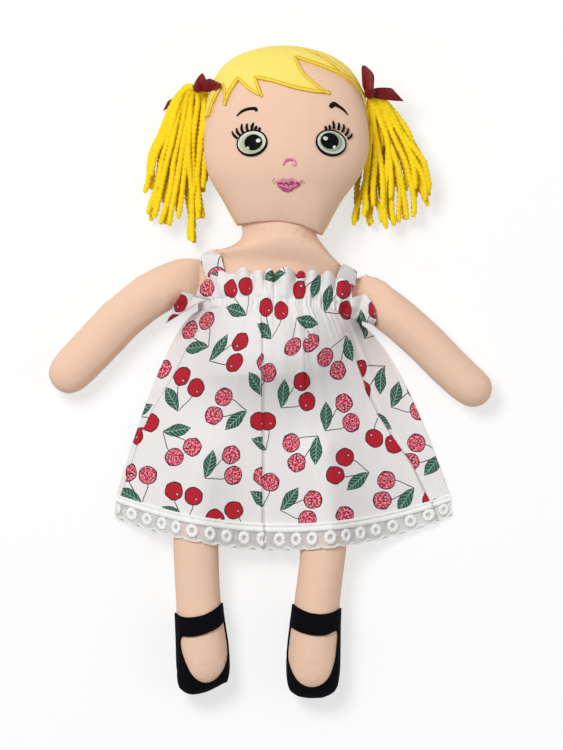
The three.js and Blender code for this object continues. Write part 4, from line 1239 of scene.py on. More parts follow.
def fold_hidden(fold, v):
    return 0.0 if fold[6] < 1 else float(smooth_step((v - fold[5]) / fold_hides_over))


# The column of each fold wanders, so the columns between are shared out again in every row.
column_kind = []
for k, count in enumerate(columns_between):
    column_kind += [("flat", k, i / count) for i in range(count)]
    if k < len(folds):
        column_kind += [("fold", k, i / columns_in_fold) for i in range(columns_in_fold)]
column_kind.append(("flat", len(folds), 1.0))
lace_share = lace_length / skirt_cloth_length
row_kind = [("frill", 1 - i / frill_rows) for i in range(frill_rows)]
row_kind += [("band", i / band_rows) for i in range(band_rows)]
row_kind += [("skirt", i / skirt_rows) for i in range(skirt_rows)]
row_kind += [("skirt", 1 + i / lace_rows * lace_share) for i in range(lace_rows + 1)]
row_count, column_count = len(row_kind), len(column_kind)
across, print_x, tuck_x, fold_z = np.zeros((4, row_count, column_count))
down = np.array([0 if kind != "skirt" else value for kind, value in row_kind])
for i, v in enumerate(down):
    lines = [np.interp(v, fold[1], fold[2]) for fold in folds]
    shows = [fold_shown(fold, v) if row_kind[i][0] == "skirt" else 0.0 for fold in folds]
    hides = [fold_hidden(fold, v) for fold in folds]
    knots = [-1] + lines + [1]
    rests = [0] + [fold_squeeze * (1 - s) for s in shows] + [0]
    hidden = 0.0
    for j, (kind, k, share) in enumerate(column_kind):
        if kind == "flat":
            start, end = knots[k] + rests[k], knots[k + 1] - rests[k + 1]
            across[i, j] = start + (end - start) * share
            print_x[i, j] = hidden
        else:
            side, _, _, tuck, height, _, _ = folds[k]
            across[i, j] = knots[k + 1] + rests[k + 1] * (2 * share - 1)
            back = 1 - abs(2 * share - 1)
            tuck_x[i, j] = tuck * shows[k] * back * (-1 if side == "left" else 1)
            rise = 1 - share if side == "left" else share
            fold_z[i, j] = height * shows[k] * rise ** 2.5
            print_x[i, j] = hidden + 2 * tuck * hides[k] * share
            if share > 1 - 1.5 / columns_in_fold:
                hidden += 2 * tuck * hides[k]

v_grid = np.repeat(down[:, None], column_count, axis=1)
plan_x, plan_y = skirt_plan(across, v_grid)
for k, fold in enumerate(folds):
    line = np.interp(down, fold[1], fold[2])[:, None]
    edge_x = skirt_plan(np.repeat(line, column_count, axis=1), v_grid)[0]
    away = (edge_x - plan_x) if fold[0] == "left" else (plan_x - edge_x)
    own = np.array([kind == "flat" for kind, _, _ in column_kind])[None, :]
    slope = fold[4] * fold_shown(fold, v_grid) * np.exp(-np.maximum(away, 0) / fold_spread)
    fold_z += np.where(own & (away >= -1e-9), slope, 0)
for i, (kind, value) in enumerate(row_kind):
    u = across[i]
    if kind == "band":
        plan_x[i] = chest_middle + chest_half * u
        plan_y[i] = chest_line(u) + band_half - 2 * band_half * value
    if kind == "frill":
        turn = frill_turn * np.sign(u) * np.abs(u) ** 5
        base_x, base_y = chest_middle + chest_half * u, chest_line(u) + band_half
        edge_x, edge_y = base_x + frill_length * np.sin(turn), base_y + frill_length * np.cos(turn)
        for way, places, spots in frill_ends:
            own_x = np.interp(u * way, places, [photo_point(px, py).x for px, py in spots])
            own_y = np.interp(u * way, places, [photo_point(px, py).y for px, py in spots])
            share = smooth_step((u * way - 0.50) / 0.10)
            edge_x, edge_y = edge_x + (own_x - edge_x) * share, edge_y + (own_y - edge_y) * share
        plan_x[i] = base_x + (edge_x - base_x) * value
        plan_y[i] = base_y + (edge_y - base_y) * value
print_gather = 0.36
gathered_print = np.where([kind == "skirt" for kind, _ in row_kind], 1 + print_gather * np.exp(-down / 0.30),
                          1 + print_gather)
print_x += plan_x * gathered_print[:, None]
plan_x = plan_x + tuck_x

# The cloth is spread over the body like a taut skin that nothing but the body and the table holds up.
map_step = 0.0015
map_x = np.arange(-0.132, 0.1321, map_step)
map_y = np.arange(-0.165, 0.0601, map_step)


def body_height(x, y):
    return seen_height(body_shell, x, y) or 0.0


def mean_around(grid):
    return (np.roll(grid, 1, 0) + np.roll(grid, -1, 0) + np.roll(grid, 1, 1) + np.roll(grid, -1, 1)) / 4


carried = np.array([[body_height(x, y) for x in map_x] for y in map_y]) + cloth_gap
left_edge = np.column_stack([plan_x[frill_rows:, 0], plan_y[frill_rows:, 0]])
right_edge = np.column_stack([plan_x[frill_rows:, -1], plan_y[frill_rows:, -1]])
low_left, low_right = left_edge[-1] - (0.002, 0.045), right_edge[-1] - (-0.002, 0.045)
cloth_outline = np.vstack([left_edge, [low_left, low_right], right_edge[::-1],
                           [(0.05, 0.05), (-0.05, 0.05)]])
map_grid = np.column_stack([grid.ravel() for grid in np.meshgrid(map_x, map_y)])
under_cloth = inside(cloth_outline, map_grid).reshape(carried.shape)
spread_map = carried.copy()
for step in range(700):
    spread_map = np.where(under_cloth, np.maximum(carried, mean_around(spread_map)), carried)
for step in range(6):
    spread_map = np.maximum(carried, (spread_map + mean_around(spread_map)) / 2)


# The value of a grid between its places.
def between(grid, row, column):
    i = np.clip(row.astype(int), 0, grid.shape[0] - 2)
    j = np.clip(column.astype(int), 0, grid.shape[1] - 2)
    a, b = row - i, column - j
    if grid.ndim == 3:
        a, b = a[:, None], b[:, None]
    return (grid[i, j] * (1 - a) * (1 - b) + grid[i + 1, j] * a * (1 - b)
            + grid[i, j + 1] * (1 - a) * b + grid[i + 1, j + 1] * a * b)


def spread_height(x, y):
    column = np.clip((x - map_x[0]) / map_step, 0, len(map_x) - 2)
    row = np.clip((y - map_y[0]) / map_step, 0, len(map_y) - 2)
    return between(spread_map, row, column)


cloth_z = spread_height(plan_x, plan_y) + fold_z
flap_from = 0.55
flap_whole_from = 0.86
flap_lowest = 0.021
flap_lift = 0.0018
flap_gap = 0.0022
for i, (kind, value) in enumerate(row_kind):
    if kind == "frill":
        outer = smooth_step((np.abs(across[i]) - flap_from) / 0.15)
        skin = np.array([body_height(x, y) for x, y in zip(plan_x[i], plan_y[i])])
        over_skin = np.maximum(cloth_z[i], skin + flap_gap) + flap_lift * min(1, value * 3)
        flap_z = np.where(np.abs(across[i]) > flap_whole_from, np.maximum(over_skin, flap_lowest), over_skin)
        cloth_z[i] = cloth_z[i] * (1 - outer) + flap_z * outer
inner = (slice(1, frill_rows), slice(1, -1))
for step in range(4):
    cloth_z[inner] = np.maximum(cloth_z[inner], mean_around(cloth_z)[inner])

# The gathers: short narrow ones and fewer long deep ones. Each line says how many there are, and
# between what bounds their places across, their widths, their lengths and their heights lie.
gather_kinds = [(46, (-0.97, 0.97), (0.008, 0.017), (0.04, 0.11), (0.0005, 0.0012)),
                (13, (-0.93, 0.93), (0.014, 0.026), (0.18, 0.5), (0.0006, 0.0015))]
picker = random.Random(21)
gathers = []
for count, *bounds in gather_kinds:
    gathers += [[picker.uniform(*pair) for pair in bounds] for k in range(count)]
shirring_pitch = 0.0023
shirring_depth = 0.00055
shirring_sink = 0.0006
shirring_reach = 0.0025
gather_reach = 0.005
frill_rise = 0.0010
frill_wave_depth = 0.0060
frill_edge_wave = 0.0034
frill_side_wave = 0.0009
frill_valleys_px = [196, 205, 222, 236, 252, 265, 274, 297, 305, 319, 333, 349, 358]
frill_wave_heights = [0.8, 1.0, 0.7, 1.05, 0.65, 1.0, 1.35, 0.7, 1.0, 1.1, 1.0, 0.8]
valley_across = [((px - photo_middle[0]) * photo_scale - chest_middle) / chest_half
                 for px in frill_valleys_px]
for i, (kind, value) in enumerate(row_kind):
    u = across[i]
    if kind == "skirt":
        for place, width, length, height in gathers:
            bulge = height * np.exp(-((u - place) / (width * (1 + value))) ** 2)
            cloth_z[i] += bulge * math.exp(-value / length)
    else:
        near = math.exp(-value * frill_length / gather_reach) if kind == "frill" else 1
        for place, width, _, height in gathers:
            cloth_z[i] += height * near * np.exp(-((u - place) / width) ** 2)
    from_band = value * {"band": 0, "frill": frill_length, "skirt": skirt_cloth_length}[kind]
    cloth_x = chest_middle + chest_half * u
    ripple = np.sin(2 * math.pi * cloth_x / shirring_pitch + 1.6 * np.sin(u * 31))
    cloth_z[i] += (shirring_depth * ripple - shirring_sink) * math.exp(-from_band / shirring_reach)
    if kind == "frill":
        phase = 2 * math.pi * np.interp(u, valley_across, range(len(valley_across)))
        strength = np.interp(phase / (2 * math.pi), np.arange(12) + 0.5, frill_wave_heights)
        wave = (0.5 - 0.5 * np.cos(phase)) * strength
        rise = value ** 0.7
        cloth_z[i] += rise * (frill_rise + frill_wave_depth * wave) * (1 - 0.6 * np.abs(u) ** 4)
        plan_y[i] += rise ** 2 * frill_edge_wave * (wave - 0.5) * (1 - u ** 4)
        plan_x[i] -= rise * frill_side_wave * np.sin(phase)

# Broad soft swells stop the skirt from looking ironed. Beside the arms the cloth keeps clear of them.
swell_height = 0.0011
lowest_cloth = 0.0019
arm_gap = 0.0012
near_step = 0.001
for i in range(frill_rows + band_rows, row_count):
    for j in range(column_count):
        spot = Vector((plan_x[i, j] * 38, plan_y[i, j] * 14, 4.0))
        cloth_z[i, j] += swell_height * noise.noise(spot) * min(1, down[i] * 4)
cloth_z = np.maximum(cloth_z, lowest_cloth)
for i in range(frill_rows + band_rows + 6):
    for j in range(column_count):
        if abs(across[i, j]) > 0.8:
            around = [body_height(plan_x[i, j] + dx, plan_y[i, j] + dy)
                      for dx in (-near_step, 0, near_step) for dy in (-near_step, 0, near_step)]
            cloth_z[i, j] = max(cloth_z[i, j], max(around) + arm_gap)

cloth_points = np.stack([plan_x, plan_y, cloth_z], axis=2)
hem_row = frill_rows + band_rows + skirt_rows
dress_points = cloth_points[:hem_row + 1].reshape(-1, 3)
dress_flat = np.stack([print_x, plan_y], axis=2)[:hem_row + 1].reshape(-1, 2)


def sheet_faces(rows, columns, first=0, closed=False):
    faces = []
    for i in range(rows - 1):
        for j in range(columns if closed else columns - 1):
            a, k = first + i * columns, (j + 1) % columns
            faces.append((a + j, a + columns + j, a + columns + k, a + k))
    return faces


dress = mesh_piece("dress_front", dress_points, sheet_faces(hem_row + 1, column_count), dress_flat)
if sum(face.normal.z for face in dress.data.polygons) < 0:
    dress.data.flip_normals()
part_of_face = dress.data.attributes.new("part_of_face", "INT", "FACE")
middle_column = next(j for j, (kind, k, share) in enumerate(column_kind) if kind == "flat" and k == 2)
leg_left_middle = -0.046
leg_right_middle = 0.020
flap_start = 0.84
dress_labels = []
for i in range(hem_row):
    for j in range(column_count - 1):
        x, y = plan_x[i:i + 2, j].mean(), plan_y[i:i + 2, j].mean()
        u = across[i, j:j + 2].mean()
        if i < frill_rows:
            label = 0 if abs(u) < flap_start else (1 if u < 0 else 2)
        elif i < frill_rows + band_rows:
            label = 3
        elif y > hip_line:
            label = 4
        elif j < middle_column:
            label = 5 if x < leg_left_middle else 6
        else:
            label = 7 if x < leg_right_middle else 8
        dress_labels.append(label)
part_of_face.data.foreach_set("value", dress_labels)
cloth_point = dress.data.attributes.new("cloth_point", "INT", "POINT")
cloth_point.data.foreach_set("value", range(len(dress.data.vertices)))
apply_modifier(dress, "SOLIDIFY", thickness=cloth_thickness, offset=-1)
labels_now = np.zeros(len(dress.data.polygons), int)
dress.data.attributes["part_of_face"].data.foreach_get("value", labels_now)
dress.data.attributes.remove(dress.data.attributes["part_of_face"])


# The print: pairs of cherries on thin stems with one leaf, thrown all ways, 31 mm apart. Half the
# cherries are plain crimson and half are stippled pink. It follows the flat cloth, so folds hide some.
motif_spacing = 0.031
rows_slant = 0.42
motif_shift = 1.2
hand_wobble = 2.0
pink_share = 0.48
print_cotton, print_shader = new_material("cherry print cotton", "EBE8E7", 0.8)
print_tree = print_cotton.node_tree
ground = add_weave(print_cotton, print_shader, "EBE8E7", 0.0005, 0.0002, "UV")


def give(value, entry):
    if isinstance(value, bpy.types.NodeSocket):
        print_tree.links.new(value, entry)
    else:
        entry.default_value = value


def number(operation, *values):
    return math_node(print_cotton, operation, *values)


def vector(operation, *values, gives=0):
    return math_node(print_cotton, operation, *values, kind="ShaderNodeVectorMath", gives=gives)


def turned(place, angle):
    node = add_node(print_cotton, "ShaderNodeVectorRotate", {"rotation_type": "Z_AXIS"}, {"Vector": place})
    give(angle, node.inputs["Angle"])
    return node.outputs[0]


def parts_of(place):
    parts = add_node(print_cotton, "ShaderNodeSeparateXYZ", None, {0: place}).outputs
    return parts["X"], parts["Y"]


def joined(x, y):
    return add_node(print_cotton, "ShaderNodeCombineXYZ", None, {"X": x, "Y": y}).outputs[0]


def ranged(value, low, high, top, clamp):
    return add_node(print_cotton, "ShaderNodeMapRange", {
        "From Min": low, "From Max": high, "To Min": 0, "To Max": top, "clamp": clamp}, {0: value}).outputs[0]


flat_place = add_node(print_cotton, "ShaderNodeTexCoord").outputs["UV"]
cells = vector("MULTIPLY", turned(flat_place, rows_slant), (1 / motif_spacing,) * 3)
cell_x, cell_y = parts_of(cells)
cell_row = number("FLOOR", cell_y)
shifted = number("ADD", cell_x, number("MULTIPLY", cell_row, 0.5))
cell_column = number("FLOOR", shifted)
in_cell = joined(number("SUBTRACT", shifted, cell_column), number("SUBTRACT", cell_y, cell_row))
in_mm = vector("MULTIPLY", vector("SUBTRACT", in_cell, (0.5, 0.5, 0)), (motif_spacing * 1000,) * 3)
chance = add_node(print_cotton, "ShaderNodeTexWhiteNoise", {"noise_dimensions": "2D"},
                  {"Vector": joined(cell_column, cell_row)})
turned_by = number("MULTIPLY", chance.outputs["Value"], 6.283)
moved = vector("MULTIPLY_ADD", chance.outputs["Color"], (motif_shift, motif_shift, 0), in_mm)
settled = vector("SUBTRACT", moved, (motif_shift / 2, motif_shift / 2, 0))
motif = turned(settled, turned_by)
wobble = add_node(print_cotton, "ShaderNodeTexNoise", {"Scale": 0.16, "Detail": 1.0}, {"Vector": motif})
wobble_centred = vector("SUBTRACT", wobble.outputs["Color"], (0.5, 0.5, 0.5))
drawn = vector("MULTIPLY_ADD", wobble_centred, (hand_wobble, hand_wobble, 0), motif)
drawn_x, drawn_y = parts_of(drawn)
chances = add_node(print_cotton, "ShaderNodeSeparateColor", None, {0: chance.outputs["Color"]})
is_pink = number("GREATER_THAN", chances.outputs["Green"], 1 - pink_share)
stipple = add_node(print_cotton, "ShaderNodeTexNoise", {"Scale": 0.85, "Detail": 2.0, "Roughness": 0.6},
                   {"Vector": drawn})
stipple_tones = add_node(print_cotton, "ShaderNodeValToRGB", None, {0: stipple.outputs["Fac"]})
ramp = stipple_tones.color_ramp
ramp.elements[0].position, ramp.elements[0].color = 0.43, linear("9A0F30")
ramp.elements[1].position, ramp.elements[1].color = 0.58, linear("F4A3B2")
middle_tone = ramp.elements.new(0.51)
middle_tone.color = linear("DC3355")
fruit = add_node(print_cotton, "ShaderNodeMix", {"data_type": "RGBA", 6: linear("B80424")},
                 {0: is_pink, 7: stipple_tones.outputs[0]})

# The stems: two thin arched lines, in millimetres from the middle of the motif.
stem_joint = (-2.3, 13.7)
stem_half = 0.32
fruit_places = [(-7.5, -2.7), (4.7, -6.3)]
stem_bulges = (-2.2, 2.4)
fruit_radius = 5.8
outline_width = 0.62
layers = []
for (x, y), bulge in zip(fruit_places, stem_bulges):
    part = ranged(drawn_y, y + fruit_radius - 1.6, stem_joint[1], 1, False)
    arch = number("MULTIPLY", part, number("SUBTRACT", 1.0, part))
    line = number("MULTIPLY_ADD", part, stem_joint[0] - x, x)
    on_line = number("COMPARE", drawn_x, number("MULTIPLY_ADD", arch, bulge, line), stem_half)
    layers.append((number("MULTIPLY", on_line, number("GREATER_THAN", arch, 0.0)), linear("1A1618")))

# The leaf points away from the stems; its veins are left paler than the leaf.
leaf_length = 18.0
leaf_half = 3.9
leaf_turn = math.radians(38)
leaf_edge = 0.4
vein_half = 0.20
leaf_start = vector("SUBTRACT", drawn, (*stem_joint, 0))
leaf_x, leaf_y = parts_of(turned(leaf_start, leaf_turn))
leaf_wide = number("SINE", ranged(leaf_x, 0, leaf_length, math.pi, True))
leaf_off = number("ABSOLUTE", leaf_y)
leaf_in = number("SUBTRACT", number("MULTIPLY", leaf_wide, leaf_half), leaf_off)
leaf_all = number("GREATER_THAN", leaf_in, 0.0)
leaf_inner = number("GREATER_THAN", leaf_in, leaf_edge)
vein_run = number("MULTIPLY_ADD", leaf_off, -1.1, leaf_x)
side_vein = number("LESS_THAN", number("PINGPONG", vein_run, 1.3), vein_half)
mid_vein = number("LESS_THAN", leaf_off, vein_half)
vein = number("MULTIPLY", number("MAXIMUM", side_vein, mid_vein), leaf_inner)
layers += [(leaf_all, linear("14261F")), (leaf_inner, linear("1A5440")), (vein, linear("8FB3A2"))]

# Each cherry: a dark line round it, the fruit, and a small ring of light.
light_off = 2.0
light_ring = 1.15
light_spot = 0.62
for x, y in fruit_places:
    off_centre = vector("DISTANCE", drawn, (x, y, 0), gives="Value")
    off_light = vector("DISTANCE", drawn, (x - light_off, y + light_off, 0), gives="Value")
    for away, reach, color in ((off_centre, fruit_radius, linear("25060C")),
                               (off_centre, fruit_radius - outline_width, fruit.outputs[2]),
                               (off_light, light_ring, linear("4A0A1C")),
                               (off_light, light_spot, linear("E9B9C2"))):
        layers.append((number("LESS_THAN", away, reach), color))

printed = ground.outputs[0]
for mask, color in layers:
    over = add_node(print_cotton, "ShaderNodeMix", {"data_type": "RGBA"}, {0: mask, 6: printed})
    give(color, over.inputs[7])
    printed = over.outputs[2]
print_tree.links.new(printed, print_shader.inputs["Base Color"])

dress.data.materials.append(print_cotton)
dress_names = ["frill_middle", "frill_flap_left", "frill_flap_right", "shirring", "skirt_top",
               "skirt_left_outer", "skirt_left_inner", "skirt_right_inner", "skirt_right_outer"]
dress_parts = take_apart(dress, labels_now, dress_names)
frill_parts, skirt_parts = dress_parts[:4], dress_parts[4:]
frill_middle, frill_flap_left, frill_flap_right, shirring = frill_parts
skirt_top = skirt_parts[0]


# Reads the points of a part of the cloth; nothing more is done with them. What each part of the
# cloth measured flat, before it was gathered: its own area and a little more.
def declare_cloth(piece):
    points = points_of(piece)


for piece in (frill_middle, shirring, skirt_top):
    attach(piece, "torso")
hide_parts("dress_frill")
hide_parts("dress_elastic")
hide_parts("skirt_front")
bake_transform(frill_flap_left)
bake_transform(frill_flap_right)
leg_bends = [("leg_left", (-0.092, hip_line, 0.02), (-0.0602, -0.0419, 0.02)),
             ("leg_left", (-0.0165, -0.08, 0.02), (-0.0245, -0.08, 0.02)),
             ("leg_right", (-0.0110, -0.08, 0.02), (0.0, -0.08, 0.02)),
             ("leg_right", (0.088, hip_line, 0.02), (0.0404, -0.0443, 0.02))]
for piece, (leg, start, end) in zip(skirt_parts[1:], leg_bends):
    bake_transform(piece)
    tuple(start)
    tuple(end)
for piece in frill_parts:
    declare_cloth(piece)
for piece in skirt_parts:
    declare_cloth(piece)


# The lace edging, front and back: a braid heading sewn over the hem, net that the legs show through,
# a row of embroidered rings with lumpy petals, and a scalloped cord with small picots at the lower edge.
lace_pitch = 0.0113
ring_radius = 0.00255
ring_thick = 0.0016
ring_petals = 9
lace_cotton, lace_shader = new_material("white lace cotton", "F7F7F5", 0.85)
add_grain(lace_cotton, lace_shader, 1500.0, 3.0, 0.0004)

# Net: the thread between the open meshes is too fine to show singly, so most light goes through.
net_mesh = 0.0012
net_thread_share = 0.09
net_slant = 0.785
lace_net, net_shader = new_material("white cotton net", "EDEDEC", 0.9)
net_tree = lace_net.node_tree
net_place = add_node(lace_net, "ShaderNodeTexCoord").outputs["UV"]
net_run = add_node(lace_net, "ShaderNodeMapping",
                   {"Scale": (1 / net_mesh, 1 / net_mesh, 1), "Rotation": (0, 0, net_slant)},
                   {"Vector": net_place})
net_parts = add_node(lace_net, "ShaderNodeSeparateXYZ", None, {0: net_run.outputs[0]})
net_lines = []
for axis in ("X", "Y"):
    wave = math_node(lace_net, "PINGPONG", net_parts.outputs[axis], 0.5)
    net_lines.append(math_node(lace_net, "LESS_THAN", wave, net_thread_share))
net_thread = math_node(lace_net, "MAXIMUM", *net_lines)
net_cover = add_node(lace_net, "ShaderNodeMapRange", {"To Min": 0.40, "To Max": 0.92},
                     {"Value": net_thread})
net_clear = add_node(lace_net, "ShaderNodeBsdfTransparent", {"Color": (0.97, 0.97, 0.97, 1)})
net_mix = add_node(lace_net, "ShaderNodeMixShader", None, {
    0: net_cover.outputs[0], 1: net_clear.outputs[0], 2: net_shader.outputs[0]})
net_tree.links.new(net_mix.outputs[0], net_tree.nodes["Material Output"].inputs["Surface"])


# Lays flat lace on the cloth: along is metres along the hem, down is metres below it.
class LaceBed:
    def __init__(self, grid, first_row):
        self.grid = grid
        self.length = length_along(grid[first_row])
        lengths = length_along(grid[:, grid.shape[1] // 3])
        self.drop = lengths - lengths[first_row]
        across_grid = np.gradient(grid, axis=1)
        down_grid = np.gradient(grid, axis=0)
        normal = np.cross(down_grid, across_grid)
        normal /= np.maximum(np.linalg.norm(normal, axis=2), 1e-12)[:, :, None]
        self.normal = normal

    def place(self, along, down, lift):
        column = np.interp(along, self.length, np.arange(len(self.length)))
        row = np.interp(down, self.drop, np.arange(len(self.drop)))
        spot, normal = between(self.grid, row, column), between(self.normal, row, column)
        unit = normal / np.maximum(np.linalg.norm(normal, axis=1), 1e-12)[:, None]
        return spot + unit * np.asarray(lift)[:, None]


def scallop(along):
    return lace_length - 0.0019 * (1 - np.abs(np.sin(math.pi * along / lace_pitch)) ** 0.8)


# The net is a plain strip with a scalloped lower edge.
def net_strip(name, bed):
    columns = int(bed.length[-1] / 0.0009)
    rows = 13
    along = np.linspace(0, bed.length[-1], columns)
    grid_along = np.tile(along, rows)
    share = np.repeat(np.linspace(0, 1, rows), columns)
    down = 0.001 + share * (scallop(grid_along) - 0.001)
    points = bed.place(grid_along, down, np.zeros(len(down)))
    piece = mesh_piece(name, points, sheet_faces(rows, columns), np.column_stack([grid_along, down]))
    piece.data.materials.append(lace_net)
    return piece


# The stitched work: heading braid, rings with their bars, and the edge cord with its picots.
def lace_work(name, bed, seed):
    picker = random.Random(seed)
    points, faces = [], []
    total = bed.length[-1]

    def add_sheet(along, down, lift, rows, columns, closed=False):
        faces.extend(sheet_faces(rows, columns, len(points), closed))
        points.extend(bed.place(along, down, lift))

    columns = int(total / 0.0006)
    section = [(-0.0010, -0.0001), (-0.0010, 0.0007), (-0.0004, 0.0011), (0.0004, 0.0012), (0.0010, 0.0007),
               (0.0015, 0.0006), (0.0021, 0.0011), (0.0031, 0.0013), (0.0041, 0.0011), (0.0045, 0.0006),
               (0.0045, -0.0001)]
    along = np.linspace(0, total, columns)
    ripple = 0.00018 * np.sin(along / 0.0013 * 2 * math.pi) + 0.0001 * np.sin(along / 0.00047 * 2 * math.pi)
    down, lift = [], []
    for d, z in section:
        down.append(d + ripple * 0.8)
        lift.append(z + (ripple if z > 0 else 0))
    rows = len(section)
    add_sheet(np.tile(along, rows), np.concatenate([np.broadcast_to(d, columns) for d in down]),
              np.concatenate([np.broadcast_to(z, columns) for z in lift]), rows, columns)

    count = int(total / lace_pitch)
    turns = np.linspace(0, 2 * math.pi, 36, endpoint=False)
    tube = np.linspace(0, 2 * math.pi, 9)
    for k in range(count):
        middle = (k + 0.5) * total / count
        start = picker.uniform(0, 6.28)
        radius = ring_radius * picker.uniform(0.94, 1.05)
        ring_along, ring_down, ring_lift = [], [], []
        for t in tube:
            thick = ring_thick * (1 + 0.16 * np.cos(ring_petals * turns + start))
            out = radius + thick * math.cos(t) * (1.0 if math.cos(t) > 0 else 0.75)
            ring_along.append(middle + out * np.cos(turns) * 0.92)
            ring_down.append(0.0088 + out * np.sin(turns) * 1.06)
            ring_lift.append(0.0005 + 0.0008 * math.sin(t) * (1 + 0.2 * np.cos(ring_petals * turns + start)))
        add_sheet(np.concatenate(ring_along), np.concatenate(ring_down), np.concatenate(ring_lift),
                  len(tube), len(turns), closed=True)
        bar_down = np.linspace(0.0042, 0.0056, 4)
        bar_x = np.array([-0.0006, -0.0003, 0.0003, 0.0006])
        bar_z = np.array([0.0001, 0.0007, 0.0007, 0.0001])
        add_sheet(np.tile(middle + bar_x, 4), np.repeat(bar_down, 4), np.tile(bar_z, 4), 4, 4)

    columns = int(total / 0.0007)
    along = np.linspace(0, total, columns)
    edge = scallop(along)
    turns = np.linspace(0, 2 * math.pi, 7)
    cord = 0.00055 * (1 + 0.25 * np.sin(along / 0.0016 * 2 * math.pi))
    add_sheet(np.tile(along, 7), np.concatenate([edge + cord * math.cos(t) for t in turns]),
              np.concatenate([0.0003 + cord * math.sin(t) for t in turns]), 7, columns)
    for k in range(int(total / 0.0038)):
        middle = (k + 0.5) * 0.0038
        turns = np.linspace(0, 2 * math.pi, 10, endpoint=False)
        for_along, for_down, for_lift = [], [], []
        for t in np.linspace(0, 2 * math.pi, 6):
            out = 0.00055 + 0.0003 * math.cos(t)
            for_along.append(middle + out * np.cos(turns))
            for_down.append(scallop(np.array([middle])) + 0.0007 + out * np.sin(turns))
            for_lift.append(np.full(10, 0.0003 + 0.0003 * math.sin(t)))
        add_sheet(np.concatenate(for_along), np.concatenate(for_down), np.concatenate(for_lift),
                  6, 10, closed=True)
    piece = mesh_piece(name, points, faces)
    edit_whole(piece, bpy.ops.mesh.remove_doubles, threshold=0.000001)
    face_outward(piece)
    piece.data.materials.append(lace_cotton)
    return piece


front_bed = LaceBed(cloth_points[hem_row - 6:], 6)
front_net = net_strip("lace_front_net", front_bed)
front_work = lace_work("lace_front_work", front_bed, 8)
lace_parts_at = -0.0125


# A lace piece is parted where the skirt is, by the place of each face along the hem.
def lace_labels(piece):
    parts_at = (leg_left_middle, lace_parts_at, leg_right_middle)
    return [sum(face.center.x >= x for x in parts_at) for face in piece.data.polygons]


lace_sides = ["left_outer", "left_inner", "right_inner", "right_outer"]
nets = take_apart(front_net, lace_labels(front_net), ["lace_net_" + side for side in lace_sides])
works = take_apart(front_work, lace_labels(front_work), ["lace_work_" + side for side in lace_sides])
for net, work, (leg, start, end) in zip(nets, works, leg_bends):
    for piece in (net, work):
        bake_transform(piece)
        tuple(start)
        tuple(end)
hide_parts("lace_front")
for net, work in zip(nets, works):
    declare_cloth(net)


# The back of the dress: the same cloth, flat on the table under the doll, with its own frill and lace.
back_height = 0.0007
back_ripple = 0.0003
back_print_shift = 0.4
back_x, back_y = plan_x - tuck_x, plan_y
back_points = np.stack([back_x, back_y, np.full_like(back_x, back_height)], axis=2)
back_flat = np.stack([back_print_shift - back_x, back_y], axis=2)


def every_third(first, last):
    return list(range(first, last, 3)) + [last]


back_sheet = np.ix_(every_third(frill_rows + band_rows, hem_row), every_third(0, column_count - 1))
skirt_back_points = back_points[back_sheet]
x, y = skirt_back_points[:, :, 0], skirt_back_points[:, :, 1]
skirt_back_points[:, :, 2] += back_ripple * np.sin(x * 220) * np.clip((0.02 - y) * 20, 0, 1)
skirt_back = mesh_piece("skirt_back_cloth", skirt_back_points.reshape(-1, 3), sheet_faces(*x.shape),
                        back_flat[back_sheet].reshape(-1, 2))
apply_modifier(skirt_back, "SOLIDIFY", thickness=cloth_thickness, offset=0)
skirt_back.data.materials.append(print_cotton)
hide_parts("skirt_back")
frill_back_rows, frill_back_columns = 12, 150
frill_back_end = 0.82
frill_back_low = 0.0275
frill_back_length = 0.018
frill_back_points, frill_back_flat = [], []
for i in range(frill_back_rows):
    for j in range(frill_back_columns):
        u = frill_back_end * (2 * j / (frill_back_columns - 1) - 1)
        x = chest_middle + chest_half * u
        y = frill_back_low + frill_back_length * i / (frill_back_rows - 1)
        y += 0.0012 * math.sin(u * 24) * i / frill_back_rows
        z = back_height + 0.0002 * math.sin(u * 60)
        frill_back_points.append((x, y, z))
        frill_back_flat.append((back_print_shift - x, y))
frill_back = mesh_piece("frill_back_cloth", frill_back_points,
                        sheet_faces(frill_back_rows, frill_back_columns), frill_back_flat)
apply_modifier(frill_back, "SOLIDIFY", thickness=cloth_thickness, offset=0)
frill_back.data.materials.append(print_cotton)
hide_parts("dress_frill_back")
back_bed = LaceBed(back_points[hem_row - 6:], 6)
back_net = net_strip("lace_back_net", back_bed)
back_work = lace_work("lace_back_work", back_bed, 9)
set_points(back_work, points_of(back_work) * (1, 1, 0.3) + (0, 0, 0.0007 * 0.7 - 0.0003))
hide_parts("lace_back")
for piece, slot in ((skirt_back, "printed_cotton"), (frill_back, "printed_cotton"), (back_net, "white_lace"),
                    (back_work, "white_lace")):
    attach(piece, "torso")
declare_cloth(skirt_back)
declare_cloth(frill_back)
declare_cloth(back_net)


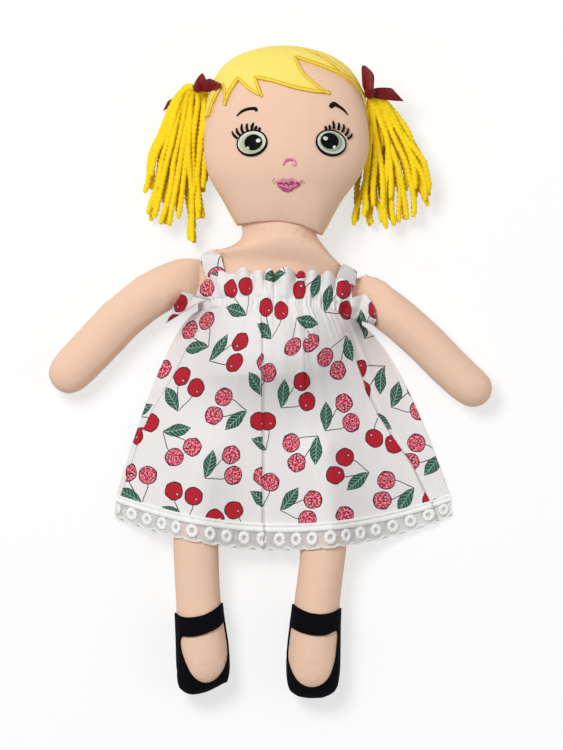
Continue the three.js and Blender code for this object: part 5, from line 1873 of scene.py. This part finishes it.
# The shoulder straps: bands of the same cloth, folded double, from inside the front frill over the
# shoulder to the back.
strap_rows = 40
strap_columns = 11
strap_lift = 0.0010
strap_bridge = 0.007
strap_fall = 0.45
strap_jump = 0.012
strap_last_turn = 168
shoulder_height = 0.0185
straps = [
    ("left", (217.5, 284), (207.6, 255), 0.0128, -0.0435, (0.7, 0.1045), 0,
     [(197, 254), (206, 276), (209, 284)], [], [(197, 253), (218, 254)]),
    ("right", (343.5, 284), (348.8, 269), 0.0116, 0.040, (0.7, 0.25), 6,
     [(343, 264), (336, 273.5), (333, 290)], [(357.3, 271), (355.5, 291), (353, 297)],
     [(342, 264), (358, 272)]),
]
for side, low_px, high_px, width, back_x_place, print_place, first_turn, left_px, right_px, top_px in straps:
    low_spot, high_spot = photo_point(*low_px), photo_point(*high_px)
    shoulder_axis = Vector((0, high_spot.y - 0.015, shoulder_height))
    top_line = flat_line(top_px)
    strap_grid = np.zeros((strap_rows, strap_columns, 3))
    reach = np.full(strap_columns, 0.012)
    for i in range(strap_rows):
        share = i / (strap_rows - 1)
        turn = math.radians(first_turn + (strap_last_turn - first_turn) * share)
        aim = Vector((0, math.sin(turn), math.cos(turn)))
        middle_x = np.interp(share, [0, 0.45, 1], [low_spot.x, high_spot.x, back_x_place])
        for j in range(strap_columns):
            x = middle_x + (j / (strap_columns - 1) - 0.5) * width
            found = []
            for beside in np.linspace(-strap_bridge, strap_bridge, 9):
                outside = shoulder_axis + Vector((x + beside, 0, 0)) + aim * 0.09
                hit = body_shell.ray_cast(outside, -aim)[0]
                if hit is not None:
                    found.append((hit - shoulder_axis).dot(aim) - strap_fall * abs(beside))
            if found and (i == 0 or abs(max(found) - reach[j]) < strap_jump):
                reach[j] = max(found)
            spot = shoulder_axis + Vector((x, 0, 0)) + aim * (reach[j] + strap_lift)
            spot.y = min(spot.y, float(np.interp(spot.x, top_line[:, 0], top_line[:, 1])))
            for border_px, pick in ((left_px, max), (right_px, min)):
                if border_px:
                    border = flat_line(border_px)
                    spot.x = pick(spot.x, float(np.interp(-spot.y, -border[:, 1], border[:, 0])))
            strap_grid[i, j] = spot
    for step in range(6):
        strap_grid[1:-1] = (strap_grid[:-2] + 2 * strap_grid[1:-1] + strap_grid[2:]) / 4
    for i in range(strap_rows):
        for j in range(strap_columns):
            spot = Vector(strap_grid[i, j])
            near, near_normal = body_shell.find_nearest(spot)[:2]
            height = (spot - near).dot(near_normal)
            crown = 0.0004 * (1 - (2 * j / (strap_columns - 1) - 1) ** 2)
            strap_grid[i, j] = near + near_normal * (max(height, 0.0008) + crown)
    strap_grid[:, :, 2] = np.maximum(strap_grid[:, :, 2], 0.0006)
    length = length_along(strap_grid[:, strap_columns // 2])
    flat = [(print_place[0] + (j / (strap_columns - 1) - 0.5) * width, print_place[1] + length[i])
            for i in range(strap_rows) for j in range(strap_columns)]
    strap = mesh_piece("strap_" + side + "_cloth", strap_grid.reshape(-1, 3),
                       sheet_faces(strap_rows, strap_columns), flat)
    face_outward(strap)
    apply_modifier(strap, "SOLIDIFY", thickness=0.0005, offset=0)
    apply_modifier(strap, "SUBSURF", levels=1, render_levels=1)
    strap.data.materials.append(print_cotton)
    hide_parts("strap_" + side)
    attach(strap, "torso")
